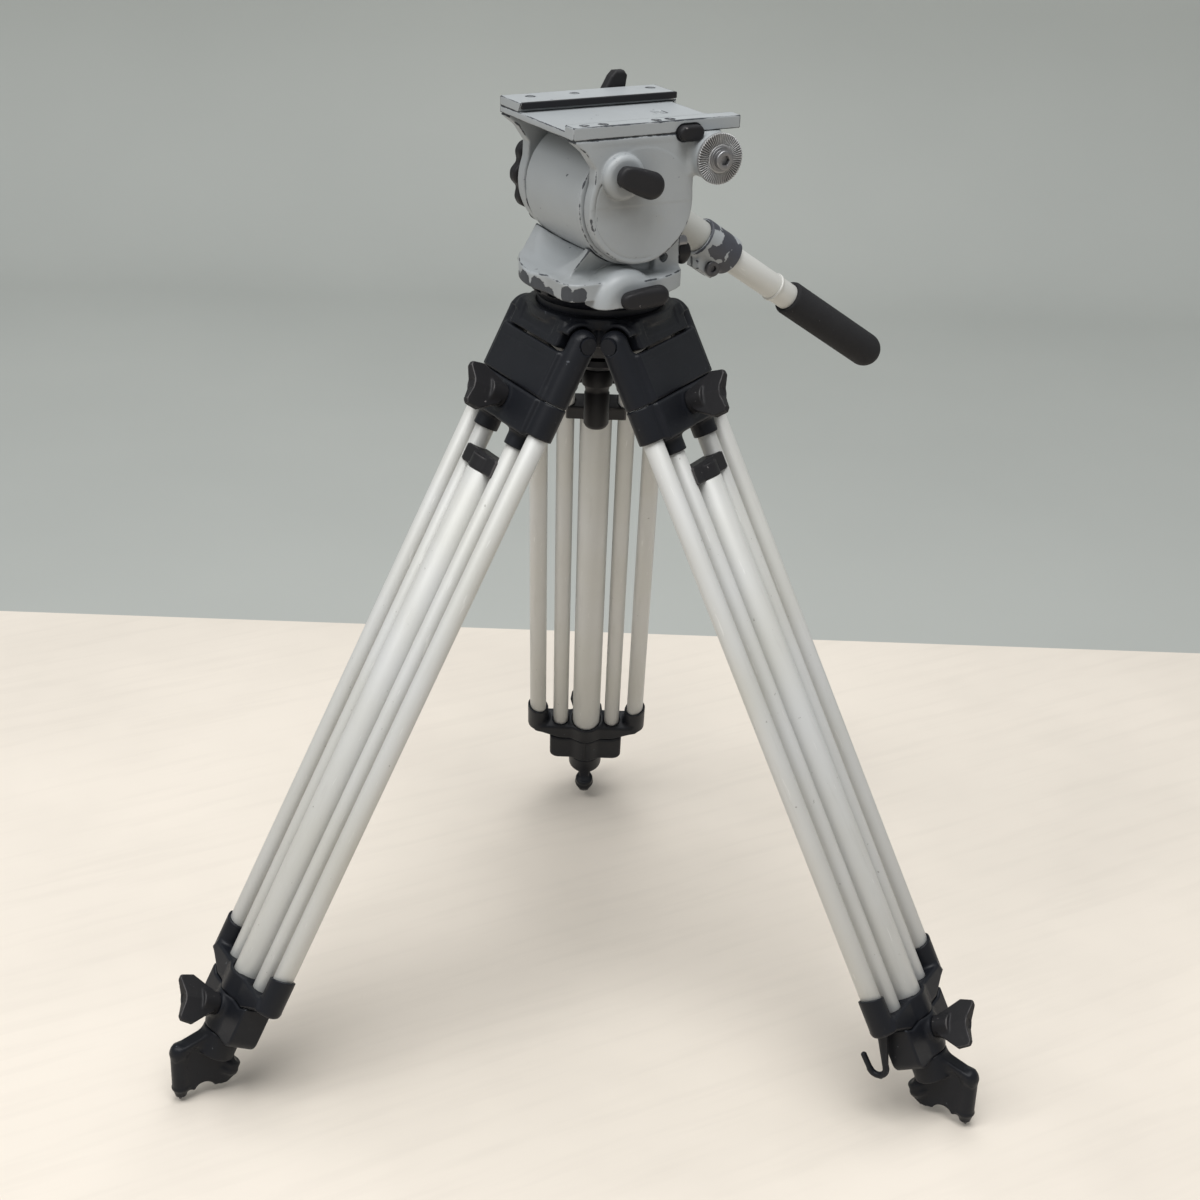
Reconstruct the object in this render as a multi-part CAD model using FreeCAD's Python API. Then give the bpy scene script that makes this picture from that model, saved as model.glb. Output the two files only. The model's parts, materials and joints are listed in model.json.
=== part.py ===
import FreeCAD, Part
import math
import os

# Camera tripod with a 100 mm bowl and a fluid head.  Millimetres and degrees.
# Row frame: +Z up, the floor at Z = 0, the pan axis on X = Y = 0, the lens side towards -Y.
# Each leg is drawn once in its own frame: w across the leg, n outwards from it and s down it,
# with the origin on the leg's hinge, and is then set round the crown at LEG_AZIMUTHS.

V = FreeCAD.Vector

# --- Fits between pieces ---------------------------------------------------------------
BONDED_GAP = 0.05
RUNNING_GAP = 0.06
SLIDING_GAP = 0.3
STOP_GAP = 0.6

# --- Legs ------------------------------------------------------------------------------
LEG_AZIMUTHS = {"leg_a": 270.0, "leg_b": 30.0, "leg_c": 150.0}
LEG_SPREAD = 27.4
OUTER_SPACING = 100.0
HINGE_MARGIN = 14.1325
HINGE_RADIUS = HINGE_MARGIN + OUTER_SPACING / 2 / math.sqrt(3)
INNER_SPACING = 53.0
OUTER_TUBE_D = 16.5
INNER_TUBE_D = 15.5
CENTRE_TUBE_D = 28.0
TUBE_WALL = 1.5
COLLAR_WALL = 2.5
CASTING_FACE = 14.5
CASTING_BACK = 9.0
PIN_D = 8.0
PIN_CAP_D = 13.0
PIN_CAP_DEPTH = 3.2

TOP_CASTING_LENGTH = 52.0
TOP_WEB_START = 13.5
TOP_WEB_WALL = 8.0
TUBE_TOP = 14.0
MID_YOKE_COLLAR = 28.0
MID_YOKE_WEB = 31.0
MID_YOKE_SOCKET = 13.0
UPPER_KNOB_DROP = 13.0
GUIDE_DROP = 16.0
GUIDE_HEIGHT = 15.0
GUIDE_DEPTH = 18.0
SECTION_LENGTH = 558.0
OUTER_YOKE_HEIGHT = 20.0
OUTER_YOKE_SLOPE = 10.0
OUTER_CUP_RISE = 25.0
OUTER_CUP_WALL = 2.25
MID_CLAMP_HEIGHT = 34.0
MID_CLAMP_WALL = 3.0
MID_CLAMP_CORNER = 9.0
TUBE_SEAT = 24.0
LOWER_KNOB_DROP = 13.0
CENTRE_BULGE = 3.5

FOOT_COLLAR_D = 34.0
FOOT_COLLAR_HEIGHT = 22.0
FOOT_SEAT = 16.5
FOOT_DROP = 49.0
FOOT_TIP_OFFSET = 8.0
FOOT_POST_D = 14.0
FOOT_POST_HEIGHT = 51.0
FOOT_WEB = 13.0
INNER_BOSS_D = 18.0
INNER_BOSS_OFFSET = 19.0
SPIKE_D = 7.0
SPIKE_LENGTH = 20.0
SPIKE_POINT = 6.0

KNOB_HUB_D = 19.0
KNOB_STUD_D = 6.0
KNOB_BLADE = 13.0
UPPER_KNOB_SPAN = 38.0
LOWER_KNOB_SPAN = 42.0
KNOB_REACH = 34.0
UPPER_KNOB_TURN = 58.0
LOWER_KNOB_TURN = 40.0

HOOK_WIRE_D = 5.0
HOOK_RADIUS = 7.5
HOOK_SIDE = 45.0

# --- Crown, bowl and tie-down ----------------------------------------------------------
BOWL_D = 100.0
BOWL_WALL = 4.0
BOWL_CENTRE_RISE = 19.0
BOWL_SEAT_DEPTH = 40.0
RING_D = 114.0
RING_HEIGHT = 8.0
CROWN_SKIRT_HEIGHT = 23.0
ARM_GAP = 0.75
ARM_DROP = 11.5
TIE_CUP_D = 66.0
TIE_CUP_WALL = 4.0
TIE_STUD_D = 12.0
TIE_HUB_D = 25.0
TIE_HUB_HEIGHT = 15.0
TIE_GRIP_D = 20.5
TIE_GRIP_LENGTH = 36.0

# --- Head ------------------------------------------------------------------------------
PLINTH_D = 114.0
PLINTH_HEIGHT = 12.5
BASE_LIP_D = 130.0
BASE_LIP_HEIGHT = 14.0
BASE_NOSE = (-22.0, 58.0)
BASE_NOSE_Y = -61.0
BASE_NOSE_CORNER = 14.0
TILT_AXIS_RISE = 86.0
DRUM_D = 96.0
DRUM_FAR_END = 40.0
DRUM_SHOULDER_D = 80.0
SADDLE_WIDTH = 88.0
REAR_BLOCK_Y = 45.0
REAR_BLOCK_HEIGHT = 25.0
HEAD_WIDTH = 118.0
CHEEK_THICKNESS = 11.0
CHEEK_RADIUS = 45.0
CHEEK_REAR = 44.5
FAR_DISC_D = 76.0
FAR_DISC_THICKNESS = 6.0
TILT_SHAFT_D = 16.0
PLATFORM_FRONT = 61.0
PLATFORM_REAR = 84.0
PLATFORM_THICKNESS = 10.0
PLATFORM_RISE = 52.4
PLATE_SIDE_STEP = 13.0
PLATE_REAR_NOTCH = 10.0
RAIL_WIDTH = 34.0
RAIL_HEIGHT = 3.0
RAIL_LENGTH = 139.0
RAIL_UNDERCUT = 3.0
RAIL_SEAT = 0.5
CHANNEL_DEPTH = 4.0

PAN_BOSS_D = 54.0
PAN_BOSS_X = 39.0
PAN_BOSS_Y = -11.0
PAN_KNOB_RISE = 2.0
DRAG_LEVER_LENGTH = 46.0
DRAG_LEVER_WIDTH = 22.0
DRAG_LEVER_DEPTH = 15.0
TILT_BOSS_D = 32.0
TILT_BOSS_Y = -19.0
TILT_BOSS_RISE = 25.0
TILT_BOSS_DEPTH = 8.0
WHEEL_D = 88.0
WHEEL_DEPTH = 11.0
WHEEL_LOBES = 12
WHEEL_LOBE_DEPTH = 4.0

LEVEL_D = 16.0
LEVEL_DEPTH = 5.0
LEVEL_Y = 8.0

ROSETTE_D = 39.0
ROSETTE_Y = 58.0
ROSETTE_RISE = 34.0
ROSETTE_BOSS_D = 32.0
ROSETTE_BOSS_LENGTH = 12.0
ROSETTE_THICKNESS = 4.0
ROSETTE_BOLT_D = 8.0
ROSETTE_HEAD_D = 15.0
BUTTON_LENGTH = 22.0
BUTTON_HEIGHT = 12.0
BUTTON_PROUD = 6.0
BUTTON_DEPTH = 4.0
BUTTON_TRAVEL = 3.0
BUTTON_Y = 38.5
LEVER_Y = 42.0
LEVER_RISE = -1.0

PAN_BAR_ANGLE = 33.5
PAN_SOCKET_D = 28.0
PAN_TUBE_D = 23.5
PAN_ELBOW = (95.0, -38.0)
PAN_SOCKET_LENGTH = 97.0
PAN_CLAMP_LENGTH = 38.0
PAN_CLAMP_WALL = 3.5
PAN_TUBE_INSERT = 70.0
PAN_TUBE_SHOWING = 83.0
GRIP_D = 31.0
GRIP_LENGTH = 124.0
PAN_SCREW_D = 6.0

# --- Worked out from the driving dimensions --------------------------------------------
SPREAD = math.radians(LEG_SPREAD)
OUTER_R = OUTER_TUBE_D / 2
INNER_R = INNER_TUBE_D / 2
CENTRE_R = CENTRE_TUBE_D / 2
OUTER_W = OUTER_SPACING / 2
INNER_W = INNER_SPACING / 2
COLLAR_R = OUTER_R + COLLAR_WALL
ARM_W = OUTER_W - COLLAR_R - ARM_GAP
MID_TOP = TOP_CASTING_LENGTH + STOP_GAP
MID_WEB_END = MID_TOP + MID_YOKE_WEB
MID_SOCKET_END = MID_WEB_END + MID_YOKE_SOCKET
INNER_TOP = MID_TOP + 5.4
GUIDE_TOP = MID_SOCKET_END + GUIDE_DROP
YOKE_END = TOP_CASTING_LENGTH + SECTION_LENGTH
YOKE_TOP = YOKE_END - OUTER_YOKE_HEIGHT
CUP_TOP = YOKE_TOP - OUTER_CUP_RISE
CUP_END = YOKE_END - OUTER_YOKE_SLOPE
TUBE_END = CUP_END - OUTER_CUP_WALL
CLAMP_TOP = YOKE_END + STOP_GAP
CLAMP_END = CLAMP_TOP + MID_CLAMP_HEIGHT
FOOT_TOP = CLAMP_END + STOP_GAP
FOOT_COLLAR_END = FOOT_TOP + FOOT_COLLAR_HEIGHT
TIP_S = FOOT_COLLAR_END + FOOT_DROP
HINGE_Z = TIP_S * math.cos(SPREAD) - FOOT_TIP_OFFSET * math.sin(SPREAD)

BALL_R = BOWL_D / 2
SEAT_R = BALL_R + SLIDING_GAP
SHELL_R = SEAT_R + BOWL_WALL
BALL_Z = HINGE_Z + BOWL_CENTRE_RISE
RING_TOP = BALL_Z - 2.0
SEAT_END = BALL_Z - BOWL_SEAT_DEPTH
PLINTH_Z = BALL_Z + 3.0
BASE_Z = PLINTH_Z + PLINTH_HEIGHT + SLIDING_GAP
LIP_TOP = BASE_Z + BASE_LIP_HEIGHT
TILT_Z = BALL_Z + TILT_AXIS_RISE
DRUM_R = DRUM_D / 2
HEAD_X = HEAD_WIDTH / 2
CHEEK_INNER = HEAD_X - CHEEK_THICKNESS
DRUM_END = CHEEK_INNER - 0.5
PLATFORM_Z = TILT_Z + PLATFORM_RISE
PLATFORM_TOP = PLATFORM_Z + PLATFORM_THICKNESS
CHANNEL_Z = PLATFORM_TOP - CHANNEL_DEPTH
PAN_KNOB_Z = BASE_Z + PAN_KNOB_RISE
ROSETTE_Z = TILT_Z + ROSETTE_RISE
ROSETTE_FACE = HEAD_X + ROSETTE_BOSS_LENGTH + ROSETTE_THICKNESS
BAR = math.radians(PAN_BAR_ANGLE)
BAR_X = -(ROSETTE_FACE + 1.0 + PAN_SOCKET_D / 2)


# --- Shape helpers ---------------------------------------------------------------------
def rod(start, end, radius):
    """A cylinder between two points."""
    start = V(*start)
    axis = V(*end) - start
    return Part.makeCylinder(radius, axis.Length, start, axis)


def pipe(start, end, radius, bore):
    """A hollow cylinder between two points."""
    return rod(start, end, radius).cut(rod(start, end, bore))


def cone(start, end, start_radius, end_radius):
    start = V(*start)
    axis = V(*end) - start
    return Part.makeCone(start_radius, end_radius, axis.Length, start, axis)


def block(low, high):
    """A box between two opposite corners."""
    size = [high[i] - low[i] for i in range(3)]
    return Part.makeBox(size[0], size[1], size[2], V(*low))


def ball(centre, radius):
    return Part.makeSphere(radius, V(*centre))


def prism(points, sweep):
    """A straight-sided solid: a closed outline of 3D points pushed along a vector."""
    corners = [V(*point) for point in points]
    return Part.Face(Part.makePolygon(corners + corners[:1])).extrude(V(*sweep))


def across(outline, low_x, high_x):
    """An outline of (y, z) points extruded along X."""
    return prism([(low_x, y, z) for y, z in outline], (high_x - low_x, 0, 0))


def lathe(outline, height_offset=0.0):
    """An outline of (radius, z) points turned round the Z axis."""
    corners = [V(r, 0, z + height_offset) for r, z in outline]
    face = Part.Face(Part.makePolygon(corners + corners[:1]))
    return face.revolve(V(0, 0, 0), V(0, 0, 1), 360)


def fuse(shapes):
    return shapes[0].multiFuse(shapes[1:]).removeSplitter()


def cut(shape, tools):
    for tool in tools:
        shape = shape.cut(tool)
    return shape


def round_edges(shape, radius, direction):
    """Rounds every straight edge that runs along a direction."""
    direction = V(*direction).normalize()
    chosen = []
    for edge in shape.Edges:
        if edge.Curve.TypeId == "Part::GeomLine":
            along = (edge.Vertexes[1].Point - edge.Vertexes[0].Point).normalize()
            if abs(along.dot(direction)) > 0.999:
                chosen.append(edge)
    return shape.makeFillet(radius, chosen)


def leg_matrix(azimuth):
    """Takes the leg frame (w, n, s) to the row frame for a leg at an azimuth."""
    turn = math.radians(azimuth)
    c, s = math.cos(turn), math.sin(turn)
    cs, ss = math.cos(SPREAD), math.sin(SPREAD)
    return FreeCAD.Matrix(
        -s, c * cs, c * ss, c * HINGE_RADIUS,
        c, s * cs, s * ss, s * HINGE_RADIUS,
        0, ss, -cs, HINGE_Z,
        0, 0, 0, 1)


def place_on_leg(shape, azimuth):
    placed = shape.copy()
    placed.Placement = FreeCAD.Placement(leg_matrix(azimuth))
    return placed


# --- Leg, first section: carries the two outer tubes -----------------------------------
def top_casting():
    """The casting that swings on the crown and holds the tops of the outer tubes."""
    web_w = OUTER_W - COLLAR_R / 2
    shapes = []
    for side in (1, -1):
        w = side * OUTER_W
        shapes.append(rod((w, 0, 0), (w, 0, TOP_CASTING_LENGTH), COLLAR_R))
        shapes.append(ball((w, 0, 0), COLLAR_R))
    web_face = CASTING_FACE - TOP_WEB_WALL
    end = TOP_CASTING_LENGTH
    shapes.append(block((-web_w, web_face, TOP_WEB_START), (web_w, CASTING_FACE, end)))
    shapes.append(block((-web_w, -CASTING_BACK, end - TOP_WEB_WALL), (web_w, web_face + 1, end)))
    body = fuse(shapes)
    tools = []
    for side in (1, -1):
        w = side * OUTER_W
        tools.append(rod((w, 0, TUBE_TOP), (w, 0, end + 1), OUTER_R + BONDED_GAP))
        inner = side * (OUTER_W - COLLAR_R - 1)
        outer = side * (OUTER_W + COLLAR_R + 1)
        cap = side * (OUTER_W + COLLAR_R - PIN_CAP_DEPTH - RUNNING_GAP)
        tools.append(rod((inner, 0, 0), (outer, 0, 0), PIN_D / 2 + RUNNING_GAP))
        tools.append(rod((cap, 0, 0), (outer, 0, 0), PIN_CAP_D / 2 + SLIDING_GAP))
    return cut(body, tools)


def outer_tubes():
    end = TUBE_END - BONDED_GAP
    return [pipe((w, 0, TUBE_TOP), (w, 0, end), OUTER_R, OUTER_R - TUBE_WALL)
            for w in (OUTER_W, -OUTER_W)]


def outer_yoke(holds_hook):
    """The casting that joins the lower ends of the outer tubes and guides the inner ones."""
    cup_r = OUTER_R + OUTER_CUP_WALL
    half_depth = CENTRE_R - 1.5
    shelf = OUTER_W * 0.55
    outline = [(-OUTER_W, YOKE_TOP), (OUTER_W, YOKE_TOP), (OUTER_W, CUP_END),
               (shelf, YOKE_END), (-shelf, YOKE_END), (-OUTER_W, CUP_END)]
    web = prism([(w, -half_depth, s) for w, s in outline], (0, 2 * half_depth, 0))
    bulge = rod((0, 0, YOKE_TOP), (0, 0, YOKE_END), CENTRE_R + CENTRE_BULGE)
    shapes = [web, bulge]
    tools = [rod((0, 0, YOKE_TOP - 1), (0, 0, YOKE_END + 1), CENTRE_R + 2 * SLIDING_GAP)]
    for side in (1, -1):
        w = side * OUTER_W
        inner = side * INNER_W
        shapes.append(rod((w, 0, CUP_TOP), (w, 0, CUP_END), cup_r))
        tools.append(rod((w, 0, CUP_TOP - 1), (w, 0, TUBE_END), OUTER_R + BONDED_GAP))
        tools.append(rod((inner, 0, YOKE_TOP - 1), (inner, 0, YOKE_END + 1), INNER_R + SLIDING_GAP))
    if holds_hook:
        tools.append(rod(*hook_shank(), HOOK_WIRE_D / 2 + BONDED_GAP))
    return cut(fuse(shapes), tools)


# --- Leg, second section: the two inner tubes ------------------------------------------
def mid_yoke():
    """Slides on the outer tubes, holds the tops of the inner ones and carries a clamp."""
    web_w = OUTER_W - COLLAR_R / 2
    shapes = [block((-web_w, -CASTING_BACK, MID_TOP), (web_w, CASTING_FACE, MID_WEB_END))]
    for side in (1, -1):
        w = side * OUTER_W
        inner = side * INNER_W
        shapes.append(rod((w, 0, MID_TOP), (w, 0, MID_TOP + MID_YOKE_COLLAR), COLLAR_R))
        shapes.append(rod((inner, 0, MID_WEB_END - 1), (inner, 0, MID_SOCKET_END),
                          INNER_R + COLLAR_WALL))
    body = fuse(shapes)
    tools = []
    knob_s = MID_TOP + UPPER_KNOB_DROP
    for side in (1, -1):
        w = side * OUTER_W
        inner = side * INNER_W
        tools.append(rod((w, 0, MID_TOP - 1), (w, 0, MID_WEB_END + 1), OUTER_R + SLIDING_GAP))
        tools.append(rod((inner, 0, INNER_TOP), (inner, 0, MID_SOCKET_END + 1),
                         INNER_R + BONDED_GAP))
    tools.append(rod((0, -CASTING_BACK + 4, knob_s), (0, CASTING_FACE + 1, knob_s),
                     KNOB_STUD_D / 2 + RUNNING_GAP))
    return cut(body, tools)


def inner_tubes():
    end = CLAMP_TOP + TUBE_SEAT
    return [pipe((w, 0, INNER_TOP), (w, 0, end), INNER_R, INNER_R - TUBE_WALL)
            for w in (INNER_W, -INNER_W)]


def mid_clamp():
    """Joins the lower ends of the inner tubes and clamps the centre tube."""
    half_w = INNER_W + INNER_R + MID_CLAMP_WALL
    half_depth = CENTRE_R - 1.0
    body = block((-half_w, -half_depth, CLAMP_TOP), (half_w, half_depth, CLAMP_END))
    body = round_edges(body, MID_CLAMP_CORNER, (0, 1, 0))
    bulge = rod((0, 0, CLAMP_TOP), (0, 0, CLAMP_END), CENTRE_R + CENTRE_BULGE)
    body = fuse([body, bulge])
    knob_s = CLAMP_TOP + LOWER_KNOB_DROP
    blind = CLAMP_TOP + TUBE_SEAT
    tools = [rod((0, 0, CLAMP_TOP - 1), (0, 0, CLAMP_END + 1), CENTRE_R + SLIDING_GAP)]
    for w in (INNER_W, -INNER_W):
        tools.append(rod((w, 0, CLAMP_TOP - 1), (w, 0, blind), INNER_R + BONDED_GAP))
    tools.append(rod((0, CENTRE_R, knob_s), (0, CENTRE_R + CENTRE_BULGE + 1, knob_s),
                     KNOB_STUD_D / 2 + RUNNING_GAP))
    return cut(body, tools)


def wing_knob(face, stud_end, s, span, turn):
    """A clamp knob on an axis along n: stud, hub and a wedge-shaped pair of wings."""
    root = face + SLIDING_GAP
    top = root + KNOB_REACH
    half = KNOB_BLADE / 2
    waist = KNOB_HUB_D / 2
    outline = [(-waist, root + 6), (waist, root + 6), (span / 2, top - 12), (span / 2 - 2, top - 1),
               (span / 2 - 6, top), (-span / 2 + 6, top), (-span / 2 + 2, top - 1),
               (-span / 2, top - 12)]
    blade = prism([(w, n, s - half) for w, n in outline], (0, 0, 2 * half))
    blade.rotate(V(0, 0, s), V(0, 1, 0), turn)
    hub = rod((0, root, s), (0, root + 14, s), KNOB_HUB_D / 2)
    stud = rod((0, stud_end, s), (0, root + 2, s), KNOB_STUD_D / 2)
    return fuse([hub, blade, stud])


def upper_knob():
    s = MID_TOP + UPPER_KNOB_DROP
    return wing_knob(CASTING_FACE, -CASTING_BACK + 5, s, UPPER_KNOB_SPAN, UPPER_KNOB_TURN)


def lower_knob():
    s = CLAMP_TOP + LOWER_KNOB_DROP
    stud_end = CENTRE_R + 2 * SLIDING_GAP
    return wing_knob(CENTRE_R + CENTRE_BULGE, stud_end, s, LOWER_KNOB_SPAN, LOWER_KNOB_TURN)


# --- Leg, third section: the centre tube and its foot ----------------------------------
def guide_block():
    """The slider on top of the centre tube, grooved to run between the inner tubes."""
    half = GUIDE_DEPTH / 2
    body = block((-INNER_W, -half, GUIDE_TOP), (INNER_W, half, GUIDE_TOP + GUIDE_HEIGHT))
    spigot = rod((0, 0, GUIDE_TOP + GUIDE_HEIGHT - 1), (0, 0, GUIDE_TOP + GUIDE_HEIGHT + 12),
                 CENTRE_R - TUBE_WALL - BONDED_GAP)
    rim = rod((0, 0, GUIDE_TOP + 3), (0, 0, GUIDE_TOP + GUIDE_HEIGHT), CENTRE_R)
    reach = INNER_R + SLIDING_GAP
    tools = []
    for w in (INNER_W, -INNER_W):
        tools.append(rod((w, 0, GUIDE_TOP - 1), (w, 0, GUIDE_TOP + GUIDE_HEIGHT + 1), reach))
    body = cut(fuse([body, spigot, rim]), tools)
    return max(body.Solids, key=lambda solid: solid.Volume)


def centre_tube():
    top = GUIDE_TOP + GUIDE_HEIGHT + BONDED_GAP
    end = FOOT_TOP + FOOT_SEAT
    return pipe((0, 0, top), (0, 0, end), CENTRE_R, CENTRE_R - TUBE_WALL)


def up_from_tip(height):
    """A point a height straight above the spike's tip, in the leg frame."""
    return (0.0, FOOT_TIP_OFFSET + height * math.sin(SPREAD), TIP_S - height * math.cos(SPREAD))


def foot():
    """The twin-point foot: collar, web, outer post over the spike and inner boss."""
    collar_r = FOOT_COLLAR_D / 2
    post_r = FOOT_POST_D / 2
    top, end = FOOT_TOP, FOOT_COLLAR_END
    inner = -INNER_BOSS_OFFSET
    post_top = up_from_tip(FOOT_POST_HEIGHT)
    post_low = up_from_tip(13.0)
    outline = [(-collar_r + 1, top + 5), (collar_r - 2, top + 5), (post_top[1], post_top[2]),
               (post_low[1], post_low[2]), (FOOT_TIP_OFFSET + 1.5, end + 32.5), (3.0, end + 29.5),
               (-3.0, end + 24.0), (-7.5, end + 23.0), (inner + 2, end + 24.0),
               (inner - 7, end + 18.0), (inner - 8, end + 10.0), (-collar_r, end - 2)]
    web = prism([(-FOOT_WEB / 2, n, s) for n, s in outline], (FOOT_WEB, 0, 0))
    boss_r = INNER_BOSS_D / 2
    shapes = [
        rod((0, 0, top), (0, 0, end), collar_r),
        web,
        rod(up_from_tip(13.0), post_top, post_r),
        ball(post_top, post_r),
        cone(up_from_tip(SPIKE_POINT), up_from_tip(13.0), SPIKE_D / 2 + 1.2, post_r),
        rod((0, inner, end + 8), (0, inner, end + 18), boss_r),
        cone((0, inner, end + 18), (0, inner, end + 26), boss_r, 3.5)]
    tools = [rod((0, 0, top - 1), (0, 0, FOOT_TOP + FOOT_SEAT),
                 CENTRE_R + BONDED_GAP),
             rod(up_from_tip(0.0), up_from_tip(SPIKE_LENGTH), SPIKE_D / 2 + BONDED_GAP)]
    casting = cut(fuse(shapes), tools)
    casting = max(casting.Solids, key=lambda solid: solid.Volume)
    spike = fuse([rod(up_from_tip(SPIKE_POINT), up_from_tip(SPIKE_LENGTH - 0.5), SPIKE_D / 2),
                  cone(up_from_tip(0.0), up_from_tip(SPIKE_POINT), 0.8, SPIKE_D / 2)])
    return [casting, spike]


def hook_shank():
    """The straight run of the hook's wire, from the yoke down to the bend."""
    return (-HOOK_SIDE, -3.0, TUBE_END + 1.0), (-HOOK_SIDE, -14.0, YOKE_END + 22)


def hook():
    """A round-wire hook under one cup of leg_b, for a sandbag or a strap."""
    wire_r = HOOK_WIRE_D / 2
    start, knee = hook_shank()
    w, bend_n, bend_s = knee[0], knee[1] - HOOK_RADIUS, knee[2]
    turned = (w, bend_n - HOOK_RADIUS, bend_s)
    tip = (w, turned[1], bend_s - 15)
    bend = Part.makeTorus(HOOK_RADIUS, wire_r, V(w, bend_n, bend_s), V(1, 0, 0))
    half = block((w - 10, bend_n - 20, bend_s), (w + 10, bend_n + 20, bend_s + 20))
    return fuse([rod(start, knee, wire_r), ball(knee, wire_r), bend.common(half),
                 rod(turned, tip, wire_r), ball(tip, wire_r)])


# --- Crown, bowl and tie-down ----------------------------------------------------------
def crown():
    """The bowl ring with its skirt and an arm for each leg."""
    skirt_end = RING_TOP - CROWN_SKIRT_HEIGHT
    ring = rod((0, 0, RING_TOP - RING_HEIGHT), (0, 0, RING_TOP), RING_D / 2)
    skirt = rod((0, 0, skirt_end), (0, 0, RING_TOP), SHELL_R)
    shell = ball((0, 0, BALL_Z), SHELL_R)
    room = 2 * SHELL_R
    shell = shell.common(block((-room, -room, SEAT_END), (room, room, RING_TOP)))
    shapes = [ring, skirt, shell]
    outline = [(CASTING_FACE, ARM_DROP), (3.0, ARM_DROP), (-7.5, 8.5), (-14.0, -4.0),
               (-6.0, -15.0), (4.0, -16.5), (12.0, -12.5), (CASTING_FACE + 1.0, -9.0),
               (CASTING_FACE, 0.0)]
    arm = prism([(-ARM_W, n, s) for n, s in outline], (2 * ARM_W, 0, 0))
    for azimuth in LEG_AZIMUTHS.values():
        shapes.append(place_on_leg(arm, azimuth))
    body = fuse(shapes)
    tools = [ball((0, 0, BALL_Z), SEAT_R),
             rod((0, 0, RING_TOP), (0, 0, RING_TOP + 40), RING_D),
             rod((0, 0, SEAT_END - 40), (0, 0, SEAT_END), SHELL_R)]
    for azimuth in LEG_AZIMUTHS.values():
        for side in (1, -1):
            hole = rod((side * pin_start(), 0, 0), (side * (ARM_W + 1), 0, 0),
                       PIN_D / 2 + BONDED_GAP)
            tools.append(place_on_leg(hole, azimuth))
    return cut(body, tools)


def pin_start():
    """How far out across the leg the stub pins begin, clear of the bowl's seat."""
    clear = SEAT_R + PIN_D / 2 + 1.0
    flat = clear ** 2 - HINGE_RADIUS ** 2 - BOWL_CENTRE_RISE ** 2
    return max(math.sqrt(max(flat, 0.0)), ARM_W - 12.0)


def hinge_pins():
    """Two stub pins for each leg, each with a flat cap in its collar."""
    pins = []
    cap_out = OUTER_W + COLLAR_R - 0.6
    cap_in = OUTER_W + COLLAR_R - PIN_CAP_DEPTH
    for azimuth in LEG_AZIMUTHS.values():
        for side in (1, -1):
            shank = rod((side * (pin_start() + 0.5), 0, 0), (side * cap_in, 0, 0), PIN_D / 2)
            cap = rod((side * cap_in, 0, 0), (side * cap_out, 0, 0), PIN_CAP_D / 2)
            pins.append(place_on_leg(fuse([shank, cap]), azimuth))
    return pins


def half_ball():
    """The levelling half-ball that the head stands on, hollow from above."""
    room = 2 * BALL_R
    low = BALL_Z - BALL_R * 0.9
    body = ball((0, 0, BALL_Z), BALL_R)
    body = body.common(block((-room, -room, low), (room, room, PLINTH_Z)))
    hollow = ball((0, 0, BALL_Z), BALL_R - 6.0)
    hollow = hollow.common(block((-room, -room, low + 9.0), (room, room, PLINTH_Z + 1)))
    bore = rod((0, 0, low - 1), (0, 0, low + 20), TIE_STUD_D / 2 + BONDED_GAP)
    return cut(body, [hollow, bore])


def tie_cup_outline():
    """Where the clamp cup starts and ends on the pan axis."""
    cup_r = SHELL_R + SLIDING_GAP
    return BALL_Z - cup_r - TIE_CUP_WALL, cup_r


def tie_down():
    """The stud and the dished cup that pulls the half-ball down into the bowl."""
    low, cup_r = tie_cup_outline()
    rim = TIE_CUP_D / 2
    rim_z = BALL_Z - math.sqrt(cup_r ** 2 - rim ** 2)
    cup = ball((0, 0, BALL_Z), cup_r + TIE_CUP_WALL).cut(ball((0, 0, BALL_Z), cup_r))
    cup = cup.common(rod((0, 0, low - 1), (0, 0, rim_z), rim))
    boss = rod((0, 0, low + 0.5), (0, 0, low + TIE_CUP_WALL + 2), TIE_STUD_D)
    top = BALL_Z - BALL_R * 0.9 + 14.0
    stud = rod((0, 0, low - TIE_HUB_HEIGHT + 3), (0, 0, top), TIE_STUD_D / 2)
    return fuse([cup, boss, stud])


def tie_handle():
    """The round handle screwed on the stud under the crown."""
    low = tie_cup_outline()[0] + 0.5 - SLIDING_GAP
    hub_end = low - TIE_HUB_HEIGHT
    grip_end = hub_end - TIE_GRIP_LENGTH
    grip_r = TIE_GRIP_D / 2
    outline = [(0, low), (TIE_HUB_D / 2, low), (TIE_HUB_D / 2, hub_end + 1),
               (grip_r, hub_end - 1), (grip_r, grip_end + 3), (grip_r - 2.5, grip_end),
               (0, grip_end)]
    body = lathe(outline)
    bore = rod((0, 0, hub_end + 2), (0, 0, low + 1), TIE_STUD_D / 2 + RUNNING_GAP)
    return body.cut(bore)


# --- Head: fixed plinth and turning housing --------------------------------------------
def plinth():
    """The fixed lower ring of the head, bolted on the half-ball."""
    top = PLINTH_Z + PLINTH_HEIGHT
    outer = PLINTH_D / 2
    outline = [(0, PLINTH_Z), (BALL_R - 0.5, PLINTH_Z), (outer, PLINTH_Z + 8), (outer, top),
               (0, top)]
    return lathe(outline)


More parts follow.
